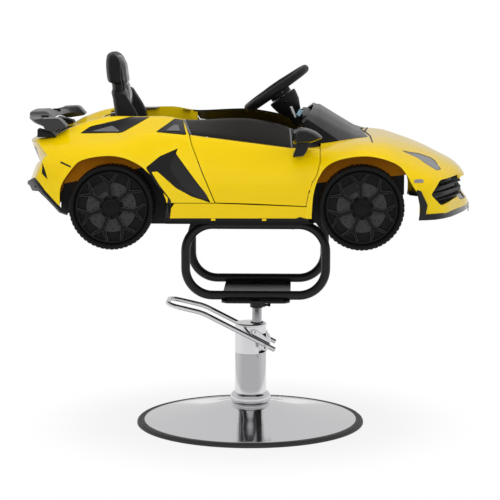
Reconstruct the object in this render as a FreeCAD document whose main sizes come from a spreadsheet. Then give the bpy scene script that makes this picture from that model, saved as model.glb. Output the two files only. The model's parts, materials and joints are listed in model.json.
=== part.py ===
"""Kids car barber chair: a toy sports car on a hydraulic pump with a round base.

Millimetres. +X is the car's forward direction, +Z is up, and the right side of the car is at -Y.
The origin is the centre of the base on the floor.
"""
import FreeCAD, Part
import math
import os
import Sketcher
from FreeCAD import Placement, Rotation, Vector

# Driving dimensions: name, value and what it measures
SIZES = [
    ("base_radius", 285.0, "outer radius of the rubber rim"),
    ("rim_width", 23.0, "radial width of the rubber rim"),
    ("rim_height", 10.0, "height of the rubber rim"),
    ("dome_wall", 2.5, "sheet thickness of the base dome"),
    ("dome_top", 54.0, "height of the dome's top edge"),
    ("dome_mouth", 41.5, "radius of the dome's top opening"),
    ("weight_foot", 4.0, "height of the cast disc above the floor"),
    ("weight_seat", 28.0, "height of the pump's seat on the cast disc"),
    ("flange_radius", 39.0, "radius of the pump's foot flange"),
    ("flange_thickness", 8.0, "thickness of the pump's foot flange"),
    ("base_bolt_circle", 33.0, "radius of the base bolts' circle"),
    ("base_bolt_radius", 3.0, "shank radius of a base bolt"),
    ("base_bolt_length", 18.0, "shank length of a base bolt"),
    ("base_bolt_count", 4, "number of base bolts"),
    ("pump_x", 1.0, "pump axis, forward of the origin"),
    ("pump_radius", 26.0, "radius of the pump cylinder"),
    ("pump_height", 236.0, "top of the pump cylinder"),
    ("cover_radius", 39.0, "outer radius of the pump covers"),
    ("cover_wall", 2.0, "wall of the pump covers"),
    ("collar_radius", 50.5, "outer radius of the collar"),
    ("collar_height", 24.0, "height of the collar"),
    ("cover_seam", 179.0, "height of the seam between the covers"),
    ("cover_top", 249.0, "top of the upper cover"),
    ("cap_height", 6.0, "height of the pump cap above the upper cover"),
    ("cap_lip", 1.0, "how far the cap stands out past the cover"),
    ("slot_bottom", 181.0, "lower edge of the slot in the upper cover"),
    ("slot_top", 219.0, "upper edge of the slot in the upper cover"),
    ("slot_depth", 18.0, "how deep the slot cuts into the cover from its front"),
    ("ram_x", 17.0, "ram and swivel axis, forward of the origin"),
    ("ram_radius", 12.0, "radius of the ram"),
    ("ram_bottom", 66.0, "lower end of the ram at its lowest position"),
    ("ram_top", 322.0, "upper end of the ram at its lowest position"),
    ("pivot_x", 38.0, "lever pivot, forward of the origin"),
    ("pivot_z", 202.0, "height of the lever pivot"),
    ("pivot_radius", 4.5, "radius of the lever pin"),
    ("pin_bore", 2.5, "radius of the bore through the lever pin"),
    ("lever_spread", 54.0, "distance of each lever rod from the middle plane"),
    ("lever_rod", 6.0, "radius of the lever rod"),
    ("lever_end", 206.0, "reach of the lever's loop behind the origin"),
    ("lever_level", 296.0, "height of the lever's rod at its loop"),
    ("lever_bend_x", 118.0, "where the lever bends, behind the origin"),
    ("lever_bend_z", 288.0, "height of the lever's bend"),
    ("lever_stub", 27.0, "length of the rod stubs past the pivot"),
    ("lever_eye", 9.0, "radius of the lever's eye"),
    ("cheek_thickness", 3.0, "thickness of a bracket cheek"),
    ("cheek_top", 243.0, "top of the bracket cheeks"),
    ("running_gap", 0.05, "radial clearance of running fits"),
    ("part_gap", 0.4, "clearance between parts that move past each other"),
    ("frame_x", 17.0, "middle of the loops, forward of the origin"),
    ("tube_radius", 11.0, "radius of the frame tube"),
    ("loop_half_length", 181.3, "outer half length of a loop"),
    ("loop_bottom", 335.6, "lowest point of the loops"),
    ("loop_top", 531.0, "highest point of the loops"),
    ("loop_bend", 66.0, "centreline radius of the loops' corners"),
    ("loop_spread", 137.8, "distance of each loop's plane from the middle plane"),
    ("plate_half_length", 84.0, "half length of the mounting plate"),
    ("plate_side", 22.0, "how far the mounting plate reaches past the loop planes"),
    ("plate_thickness", 6.0, "thickness of the mounting plate"),
    ("plate_corner", 14.0, "corner chamfer of the mounting plate"),
    ("socket_radius", 17.5, "outer radius of the socket"),
    ("socket_height", 36.0, "height of the socket below the plate"),
    ("socket_flange", 24.0, "radius of the socket's weld collar"),
    ("socket_flange_height", 5.0, "height of the socket's weld collar"),
    ("lock_screw_radius", 3.0, "radius of the lock screw"),
    ("lock_screw_reach", 34.0, "reach of the lock screw from the socket's axis"),
    ("lock_screw_drop", 5.5, "height of the lock screw above the socket's foot"),
    ("frame_bolt_radius", 3.0, "shank radius of a frame bolt"),
    ("frame_bolt_pitch", 180.0, "distance between a loop's two bolts"),
    ("bolt_head_radius", 6.0, "head radius of a bolt"),
    ("bolt_head_height", 4.0, "head height of a bolt"),
    ("car_mid_x", -2.0, "middle of the car, forward of the origin"),
    ("car_half_length", 543.0, "half the length of the car"),
    ("car_half_width", 294.0, "half the width of the car"),
    ("car_base_z", 550.0, "lower edge of the yellow body"),
    ("car_body_height", 250.0, "height that the body's shares refer to"),
    ("body_wall", 3.5, "wall of the body panels"),
    ("panel_gap", 1.6, "gap between neighbouring panels"),
    ("door_front_gap", 5.0, "gap at the door's hinged edge"),
    ("door_rear_gap", 5.0, "gap behind the door's window trim"),
    ("pan_thickness", 4.0, "wall of the floor pan"),
    ("tub_height", 62.0, "height of the tub's side walls above its floor"),
    ("rib_height", 14.0, "height of the tub's stiffening ribs"),
    ("wheel_radius", 100.5, "outer radius of a wheel"),
    ("wheel_width", 60.0, "width of a wheel"),
    ("axle_radius", 5.0, "radius of the axles"),
    ("ring_radius", 89.0, "radius of the wheel cover's ring"),
    ("ring_width", 5.0, "radial width of the wheel cover's ring"),
    ("disc_radius", 59.0, "radius of the raised disc behind the spokes"),
    ("hub_radius", 24.0, "radius of the wheel cover's hub"),
    ("spoke_count", 7, "number of spokes"),
    ("spoke_width", 13.0, "width of a spoke at the hub"),
    ("spoke_thickness", 5.0, "thickness of a spoke"),
    ("dish_depth", 15.0, "depth of the dish behind the wheel's outer face"),
    ("kingpin_radius", 4.0, "radius of a kingpin"),
    ("kingpin_half", 21.0, "half height of a knuckle's sleeve"),
    ("knuckle_radius", 9.0, "radius of a knuckle's sleeve"),
    ("arm_reach", 40.0, "length of a steering arm behind the kingpin"),
    ("arm_drop", 12.0, "how far the steering arm lies below the wheel axis"),
    ("tie_rod_radius", 4.0, "radius of the tie rod"),
    ("wheel_rim_radius", 95.0, "outer radius of the steering wheel"),
    ("wheel_rim_section", 10.5, "section radius of the steering wheel's rim"),
    ("shaft_radius", 7.0, "radius of the steering shaft"),
    ("hinge_pin_radius", 2.0, "radius of a door hinge pin"),
    ("hinge_height", 17.0, "height of a door's hinge sleeve"),
    ("hinge_lug", 5.0, "height of a hinge lug"),
    ("trim_drop", 0.8, "how far trim pieces lie below the surface round them"),
    ("cushion_gap", 0.3, "clearance round the soft pads"),
    ("cut_overrun", 40.0, "overrun of every cutting shape"),
]

# Places along the car: share of its half length from its middle
LENGTH_SHARES = {
    "tub_rear_x": -0.644567,  # rear wall of the tub
    "tub_front_x": 0.272560,  # front wall of the tub
    "skirt_front_x": 0.272560,  # front end of the side skirts
    "skirt_rear_x": -0.357274,  # rear end of the side skirts
    "rear_axle_x": -0.585635,  # rear axle
    "front_axle_x": 0.5000,  # front axle
    "steer_x": 0.123389,  # centre of the steering wheel
    "aim_x": 0.271477,  # point on the dashboard that the steering column aims at
    "door_axis_x": 0.276243,  # door hinge axis
}

# Distances from the middle plane: share of the car's half width
WIDTH_SHARES = {
    "pan_half_width": 0.721088,  # half width of the floor pan beside the wheels
    "tub_half_width": 0.666667,  # inner half width of the cockpit tub
    "steer_wall_y": 0.6463,  # outer face of the walls inside the steered wheels
    "skirt_half_width": 0.948980,  # outer half width of the side skirts
    "wheel_face": 0.969388,  # the wheels' outer face
    "kingpin_y": 0.755102,  # the kingpins
    "door_axis_y": 0.955782,  # door hinge axis
    "seat_half_width": 0.4422,  # half width of the seat
    "wing_half_span": 0.7823,  # half span of the rear wing
}

# Heights: share of the body's height above its lower edge
HEIGHT_SHARES = {
    "steer_z": 1.1680,  # height of the steering wheel's centre
    "aim_z": 0.7000,  # point on the dashboard that the steering column aims at
    "hinge_z": 0.2800,  # lower end of a door's hinge sleeve
    "wheel_z": 0.1100,  # height of the wheel axes
    "skirt_bottom": -0.0160,  # lower edge of the side skirts
    "skirt_top": 0.0640,  # top of the side skirts' raised ends
}

# Outer surface of the body: x share of the half length, then the half section from the centreline to
# the lower edge, each point a (share of half width, share of body height)
SURFACE_SHARES = [
    (-1.000, [(0, .60), (.040, .60), (.080, .592), (.102, .584), (.122, .56), (.136, .40), (.136, .20)]),
    (-.987, [(0, .67), (.20, .668), (.32, .660), (.357, .652), (.391, .62), (.415, .42), (.415, .16)]),
    (-.954, [(0, .71), (.37, .710), (.56, .704), (.612, .696), (.653, .648), (.680, .44), (.673, .10)]),
    (-.923, [(0, .73), (.41, .732), (.65, .732), (.697, .724), (.776, .656), (.837, .456), (.816, .05)]),
    (-.862, [(0, .75), (.43, .748), (.67, .752), (.721, .744), (.850, .656), (.925, .48), (.905, .01)]),
    (-.788, [(0, .77), (.44, .768), (.68, .776), (.728, .768), (.884, .672), (.973, .528), (.959, .01)]),
    (-.685, [(0, .81), (.45, .808), (.65, .844), (.735, .788), (.912, .696), (.997, .584), (.983, .01)]),
    (-.582, [(0, .88), (.46, .880), (.62, .904), (.735, .796), (.918, .716), (1.0, .608), (.990, .01)]),
    (-.484, [(0, .92), (.45, .920), (.59, .944), (.741, .852), (.905, .752), (1.0, .560), (.986, .01)]),
    (-.374, [(0, .93), (.44, .928), (.57, .948), (.728, .872), (.884, .792), (.993, .44), (.969, .01)]),
    (-.247, [(0, .90), (.43, .904), (.57, .908), (.721, .852), (.871, .788), (.986, .38), (.952, .01)]),
    (-.033, [(0, .93), (.43, .928), (.565, .928), (.714, .832), (.864, .728), (.983, .368), (.949, .01)]),
    (.114, [(0, .89), (.43, .888), (.571, .884), (.721, .792), (.867, .688), (.980, .36), (.946, .01)]),
    (.206, [(0, .82), (.435, .820), (.612, .808), (.741, .740), (.874, .668), (.980, .36), (.946, .01)]),
    (.319, [(0, .75), (.425, .744), (.663, .688), (.776, .664), (.884, .644), (.983, .40), (.952, .01)]),
    (.401, [(0, .75), (.415, .744), (.700, .696), (.810, .668), (.918, .632), (.993, .52), (.973, .01)]),
    (.501, [(0, .745), (.40, .740), (.714, .720), (.837, .696), (.952, .648), (1.0, .592), (.990, .01)]),
    (.597, [(0, .71), (.39, .708), (.694, .692), (.823, .664), (.939, .608), (.997, .544), (.983, .01)]),
    (.689, [(0, .655), (.36, .648), (.646, .620), (.776, .584), (.891, .528), (.969, .448), (.956, .01)]),
    (.785, [(0, .59), (.31, .580), (.544, .548), (.680, .508), (.803, .456), (.918, .36), (.912, .01)]),
    (.860, [(0, .525), (.265, .516), (.442, .492), (.561, .460), (.680, .420), (.816, .336), (.837, .01)]),
    (.925, [(0, .46), (.20, .452), (.333, .440), (.425, .420), (.510, .392), (.612, .336), (.633, .01)]),
    (.966, [(0, .385), (.13, .381), (.225, .374), (.28, .366), (.335, .352), (.395, .326), (.425, .01)]),
    (.978, [(0, .345), (.10, .344), (.18, .342), (.235, .340), (.28, .337), (.32, .333), (.345, .01)]),
    (.986, [(0, .085), (.08, .085), (.14, .084), (.18, .082), (.215, .080), (.25, .076), (.275, .01)]),
    (1.000, [(0, .045), (.02, .045), (.034, .044), (.048, .042), (.061, .040), (.075, .036), (.088, .01)]),
]

# Side-view outlines: shares of the car's half length and of the body height
REAR_ARCH_SHARES = [
    (-.807, -.2), (-.810, .244), (-.803, .316), (-.786, .384), (-.764, .448), (-.729, .544),
    (-.685, .580), (-.628, .600), (-.582, .604), (-.541, .592), (-.499, .564), (-.433, .484),
    (-.331, .204), (-.354, -.2),
]
FRONT_ARCH_SHARES = [
    (.280, -.2), (.285, .176), (.297, .316), (.317, .428), (.348, .512), (.392, .564), (.455, .596),
    (.512, .608), (.569, .592), (.628, .552), (.670, .500), (.700, .400), (.722, .292), (.722, -.2),
]
DOOR_SHARES = [
    (.319, .668), (.319, .540), (.304, .420), (.282, .344), (.269, .248), (.258, .128), (.017, .152),
    (-.134, .160), (-.160, .296), (-.195, .476), (-.236, .700), (-.247, .788), (-.028, .728), (.192, .668),
]
TRIM_SHARES = [
    (.319, .668), (.192, .668), (-.028, .728), (-.247, .788), (-.319, 1.1), (.319, 1.1),
]
INTAKE_SHARES = [
    (-.433, .492), (-.374, .596), (-.295, .668), (-.304, .620), (-.208, .344), (-.173, .248),
    (-.153, .160), (-.236, .220), (-.284, .300), (-.335, .412), (-.362, .420), (-.313, .204), (-.333, .012),
    (-.354, .012), (-.335, .204),
]
QUARTER_SHARES = [(-.731, .788), (-.687, .852), (-.508, .940), (-.420, .944), (-.547, .796)]
SMALL_WINDOW_SHARES = [(-.392, .816), (-.320, .920), (-.293, .912), (-.268, .785)]
CORNER_INTAKE_SHARES = [(.814, .18), (.849, .328), (.94, .338), (.94, .13), (.904, .12), (.853, .08)]
MIRROR_SHARES = [
    (.196, .772), (.202, .852), (.230, .876), (.274, .872), (.306, .840), (.322, .780), (.264, .728),
    (.202, .728),
]
MIRROR_FOOT_SHARES = [(.197, .600), (.250, .612), (.290, .790), (.240, .800)]
TAIL_FIN_SHARES = [(-.925, .24), (-.84, .24), (-.84, .0), (-.87, .05)]
TAIL_SHELF_SHARES = [(-.93, .24), (-.824, .08), (-.824, .06), (-.93, .22)]
CORNER_BLADE_SHARES = [
    (.735, .292), (.757, .276), (.783, .144), (.775, .064), (.757, .0), (.746, .0), (.752, .144),
]
WING_SHARES = [(-.893, .928), (-.820, .936), (-.781, .844), (-.877, .812), (-.897, .904)]
STRUT_SHARES = [(-.888, .60), (-.862, .60), (-.888, .93), (-.925, .93)]
DASH_SHARES = [(.190, .40), (.215, .90), (.245, .945), (.300, .93), (.330, .84), (.325, .72), (.318, .40)]
SEAT_BASE_SHARES = [(-.140, .34), (-.155, .40), (-.40, .36), (-.565, .36)]
SEAT_BED_SHARES = [(-.54, .30), (-.165, .30), (-.165, .6), (-.54, .6)]
HEADLIGHT_SHARES = [(.669, .632), (.783, .588), (.807, .572), (.851, .464), (.829, .448), (.757, .516)]
DIFFUSER_SHARES = [
    (-1.03, .336), (-.950, .336), (-.926, .368), (-.877, .232), (-.827, .136), (-.827, -.004),
    (-.838, -.004), (-.860, .032), (-.921, .200), (-1.03, .260),
]
TAIL_SHARES = [
    (-1.1, 1.0), (-.985, 1.0), (-.985, .672), (-.971, .580), (-.947, .456), (-.961, .440), (-.970, .400),
    (-.996, .248), (-1.0, .240), (-1.0, -.2), (-1.1, -.2),
]


# Front view of the grille's opening, right half: shares of the half width and of the body height
MOUTH_SHARES = [(0, .33), (.42, .33), (.62, .20), (.46, .09), (0, .09)]

# Plan of the splitter's front edge, right half: shares of the half length and of the half width
SPLITTER_SHARES = [(.752, .93), (.80, .93), (.86, .86), (.93, .66), (.97, .45), (1.0, .14)]

# Wing along its half span: share of it, shift, lift and share of the thickness
WING_SPAN_SHARES = [
    (1.0, 0.0, 0.0, 1.0), (.80, 0.0, 0.0, 1.0), (.78, -.045, .01, .45), (.30, -.090, .02, .45),
    (.22, -.094, .03, .8), (0.0, -.096, .03, .8),
]

# Windshield: x share, then (share of half width, share of body height) from the centre to the foot
SCREEN_SHARES = [
    (.242, [(0, 1.012), (.27, 1.000), (.476, .968), (.565, .940), (.580, .880)]),
    (.280, [(0, 1.020), (.27, 1.004), (.476, .952), (.571, .880), (.646, .760)]),
    (.322, [(0, 1.012), (.27, .988), (.476, .920), (.578, .828), (.690, .640)]),
    (.409, [(0, .896), (.27, .876), (.476, .808), (.585, .732), (.700, .640)]),
    (.479, [(0, .804), (.27, .792), (.476, .760), (.585, .724), (.680, .640)]),
    (.554, [(0, .752), (.27, .748), (.476, .732), (.561, .720), (.612, .640)]),
]

# Seat back from below: height, rear, front at the middle, front at the bolster, half width
SEAT_SHARES = [
    (.30, -.580, -.540, -.455, 1.0), (.62, -.592, -.550, -.468, 1.0), (.90, -.600, -.556, -.485, 1.0),
    (1.10, -.612, -.560, -.540, .98), (1.17, -.625, -.566, -.560, .93), (1.30, -.640, -.575, -.572, .62),
    (1.42, -.645, -.578, -.574, .56), (1.50, -.642, -.598, -.595, .48), (1.52, -.634, -.612, -.612, .36),
]

# Seat cushion from behind: x share, share of body height above its bed, share of the seat's half width
CUSHION_SHARES = [
    (-.53, .05, .66), (-.50, .115, .71), (-.35, .125, .72), (-.20, .115, .71), (-.172, .06, .66),
]

# Limits of cutting shapes: shares of the body height, of the half length and of the half width
ROOF_SHARE = 1.1
NOSE_SHARE = 1.1
LAMP_INNER_SHARE = .36
WINDOW_INNER_SHARE = .5
FLANK_INNER_SHARE = .6

# Ribs across the floor pan: shares of the half length
RIB_SHARES = (-.72, -.45, -.08, .10, .36, .62)


def make_sheet(doc):
    """Write the driving dimensions into the sheet, one alias a row."""
    sheet = doc.addObject("Spreadsheet::Sheet", "Sizes")
    for row, (alias, value, meaning) in enumerate(SIZES, start=1):
        sheet.set("A%d" % row, alias)
        sheet.set("B%d" % row, str(value))
        sheet.set("C%d" % row, meaning)
        sheet.setAlias("B%d" % row, alias)
    return sheet


class Model:
    """The document, its sheet and the finished sub-parts."""

    def __init__(self):
        self.doc = FreeCAD.newDocument("kids_car_barber_chair")
        self.sheet = make_sheet(self.doc)
        self.doc.recompute()
        self.parts = []

    def __getattr__(self, alias):
        """Read a driving dimension by its alias, or a place from the car's sizes and its share."""
        if alias in LENGTH_SHARES:
            return self.car_mid_x + LENGTH_SHARES[alias] * self.car_half_length
        if alias in WIDTH_SHARES:
            return WIDTH_SHARES[alias] * self.car_half_width
        if alias in HEIGHT_SHARES:
            return self.car_base_z + HEIGHT_SHARES[alias] * self.car_body_height
        return float(self.sheet.get(alias))

    def column_axis(self):
        """Direction of the steering column, from the wheel's centre down and forward to the dashboard."""
        return Vector(self.aim_x - self.steer_x, 0, self.aim_z - self.steer_z).normalize()

    def value(self, expression):
        """Evaluate an expression over the sheet's aliases."""
        return float(self.sheet.evalExpression(self.bound(expression)))

    def bound(self, expression):
        """Return the expression with each alias pointed at the sheet."""
        words = expression
        for alias, _, _ in sorted(SIZES, key=lambda entry: -len(entry[0])):
            words = words.replace("<" + alias + ">", "Sizes." + alias)
        return words

    def keep(self, item, label):
        """Name a finished sub-part."""
        item.Label = label
        self.parts.append(item)
        return item

    def feature(self, label, shape, placement=None):
        """Keep a shape that was made by functions as a sub-part."""
        item = self.doc.addObject("Part::Feature", label)
        item.Shape = shape
        item.Placement = placement or Placement()
        return self.keep(item, label)

    def body(self, label, placement=None):
        """Start a body of sketched features."""
        item = self.doc.addObject("PartDesign::Body", label)
        item.Placement = placement or Placement()
        return self.keep(item, label)


# Sketches and features

def origin_plane(body, role):
    """Find one of a body's own origin planes."""
    return [item for item in body.Origin.OriginFeatures if item.Role == role][0]


def sketch_on(body, name, role="XZ_Plane"):
    """Attach a new sketch to an origin plane of its body."""
    sketch = body.newObject("Sketcher::SketchObject", name)
    sketch.AttachmentSupport = [(origin_plane(body, role), "")]
    sketch.MapMode = "FlatFace"
    return sketch


def pin_point(model, sketch, geometry, point, place):
    """Hold a sketch point at a place given by two expressions."""
    for kind, expression in zip(("DistanceX", "DistanceY"), place):
        size = model.value(expression)
        index = sketch.addConstraint(Sketcher.Constraint(kind, -1, 1, geometry, point, size))
        sketch.setExpression("Constraints[%d]" % index, model.bound(expression))


def closed_outline(model, sketch, places):
    """Draw a closed polygon through places given as pairs of expressions."""
    spots = [Vector(model.value(u), model.value(v), 0) for u, v in places]
    count = len(spots)
    lines = [sketch.addGeometry(Part.LineSegment(spots[i], spots[(i + 1) % count]), False)
             for i in range(count)]
    for i, line in enumerate(lines):
        sketch.addConstraint(Sketcher.Constraint("Coincident", line, 2, lines[(i + 1) % count], 1))
        pin_point(model, sketch, line, 1, places[i])


def circle(model, sketch, place, radius):
    """Draw a circle whose centre and radius are expressions."""
    spot = Vector(model.value(place[0]), model.value(place[1]), 0)
    index = sketch.addGeometry(Part.Circle(spot, Vector(0, 0, 1), model.value(radius)), False)
    pin_point(model, sketch, index, 3, place)
    held = sketch.addConstraint(Sketcher.Constraint("Radius", index, model.value(radius)))
    sketch.setExpression("Constraints[%d]" % held, model.bound(radius))


def revolve(model, body, places, name="Turned"):
    """Turn an outline in the XZ plane a full circle round the body's Z axis."""
    sketch = sketch_on(body, name + "Outline")
    closed_outline(model, sketch, places)
    turned = body.newObject("PartDesign::Revolution", name)
    turned.Profile = sketch
    turned.ReferenceAxis = (sketch, ["V_Axis"])
    turned.Angle = 360
    return turned


def pad(model, body, places, length, role="XZ_Plane", midplane=True, name="Plate"):
    """Pad a closed outline by a length expression."""
    sketch = sketch_on(body, name + "Outline", role)
    closed_outline(model, sketch, places)
    solid = body.newObject("PartDesign::Pad", name)
    solid.Profile = sketch
    solid.setExpression("Length", model.bound(length))
    solid.Midplane = midplane
    return solid


def drill(model, body, place, radius, role="XY_Plane", name="Bore"):
    """Cut a round hole right through the body, square to an origin plane."""
    sketch = sketch_on(body, name + "Circle", role)
    circle(model, sketch, place, radius)
    hole = body.newObject("PartDesign::Pocket", name)
    hole.Profile = sketch
    hole.Type = "ThroughAll"
    hole.Midplane = True
    return hole


def rod(start, end, radius):
    """Return a solid rod between two points."""
    axis = end - start
    return Part.makeCylinder(radius, axis.Length, start, axis)


def bolt(head_radius, head_height, shank_radius, shank_length, foot):
    """Return a hexagon-head bolt that hangs from its seat at foot."""
    corners = [Vector(head_radius * math.cos(k * math.pi / 3), head_radius * math.sin(k * math.pi / 3), 0)
               for k in range(7)]
    head = Part.Face(Part.makePolygon(corners)).extrude(Vector(0, 0, head_height))
    shank = Part.makeCylinder(shank_radius, shank_length + head_height / 2, Vector(0, 0, -shank_length))
    whole = head.fuse(shank).removeSplitter()
    whole.translate(foot)
    return whole


def prism(points, low, high):
    """Extrude a side-view outline of (x, z) points from y = low to y = high."""
    corners = [Vector(x, low, z) for x, z in points]
    return Part.Face(Part.makePolygon(corners + corners[:1])).extrude(Vector(0, high - low, 0))


def single(shape):
    """Return the one solid of a shape."""
    return shape.Solids[0] if len(shape.Solids) == 1 else shape


def mirrored(shape):
    """Return the shape on the other side of the car."""
    return shape.mirror(Vector(0, 0, 0), Vector(0, 1, 0))


# Base and pump

def base_parts(model):
    """Rubber rim, dome, cast disc, bolts and collar."""
    rim = model.body("base_rim")
    revolve(model, rim, [
        ("<base_radius> - <rim_width>", "0"), ("<base_radius>", "0"),
        ("<base_radius>", "<rim_height> * 0.5"), ("<base_radius> - <rim_width> * 0.25", "<rim_height>"),
        ("<base_radius> - <rim_width> * 0.8", "<rim_height>"),
        ("<base_radius> - <rim_width> * 0.8", "<rim_height> - <dome_wall>"),
        ("<base_radius> - <rim_width>", "<rim_height> - <dome_wall>")])

    dome = model.body("base_plate")
    edge = "<base_radius> - <rim_width> * 0.8"
    rise = "(<dome_top> - <rim_height>)"
    span = "(<base_radius> - <rim_width> - <dome_mouth>)"
    shares = [(0.0, 0.0), (0.15, 0.12), (0.33, 0.27), (0.52, 0.45), (0.70, 0.66), (0.86, 0.86), (1.0, 1.0)]
    upper = [("<base_radius> - <rim_width> - %s * %s" % (span, along), "<rim_height> + %s * %s" % (rise, up))
             for along, up in shares]
    lower = [(u, v + " - <dome_wall>") for u, v in reversed(upper[1:])]
    revolve(model, dome, [(edge, "<rim_height> - <dome_wall>"), (edge, "<rim_height>")] + upper[1:] + lower)

    weight = model.body("base_weight")
    under = ["<rim_height> + %s * %s - <dome_wall> - <part_gap>" % (rise, up) for _, up in shares]
    reach = ["<base_radius> - <rim_width> - %s * %s" % (span, along) for along, _ in shares]
    revolve(model, weight, [
        ("<ram_radius>", "<weight_foot>"), (reach[2], "<weight_foot>"), (reach[2], under[2]),
        (reach[3], under[3]), (reach[4], under[4]),
        ("<flange_radius> * 1.5", "<weight_seat>"), ("<ram_radius>", "<weight_seat>")])

    bolts = []
    for k in range(int(model.base_bolt_count)):
        angle = math.radians(45) + k * 2 * math.pi / model.base_bolt_count
        foot = Vector(model.pump_x + model.base_bolt_circle * math.cos(angle),
                      model.base_bolt_circle * math.sin(angle), model.weight_seat + model.flange_thickness)
        bolts.append(bolt(model.bolt_head_radius * 0.85, model.bolt_head_height, model.base_bolt_radius,
                          model.base_bolt_length, foot))
        drill(model, weight, ("<pump_x> + <base_bolt_circle> * cos(45deg + %d * 360deg / <base_bolt_count>)" % k,
                              "<base_bolt_circle> * sin(45deg + %d * 360deg / <base_bolt_count>)" % k),
              "<base_bolt_radius> + <running_gap>", name="BoltHole%d" % k)
    model.feature("base_bolts", Part.makeCompound(bolts))

    collar = model.body("base_collar", Placement(Vector(model.pump_x, 0, model.dome_top + model.running_gap),
                                                 Rotation()))
    bore = "<cover_radius> + <running_gap>"
    revolve(model, collar, [
        (bore, "0"), ("<collar_radius> * 0.9", "0"), ("<collar_radius>", "<collar_height> * 0.28"),
        ("<collar_radius>", "<collar_height> * 0.62"), ("<collar_radius> * 0.94", "<collar_height> * 0.86"),
        (bore + " + <collar_height> * 0.1", "<collar_height>"), (bore, "<collar_height>")])
    model.doc.recompute()


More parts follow.
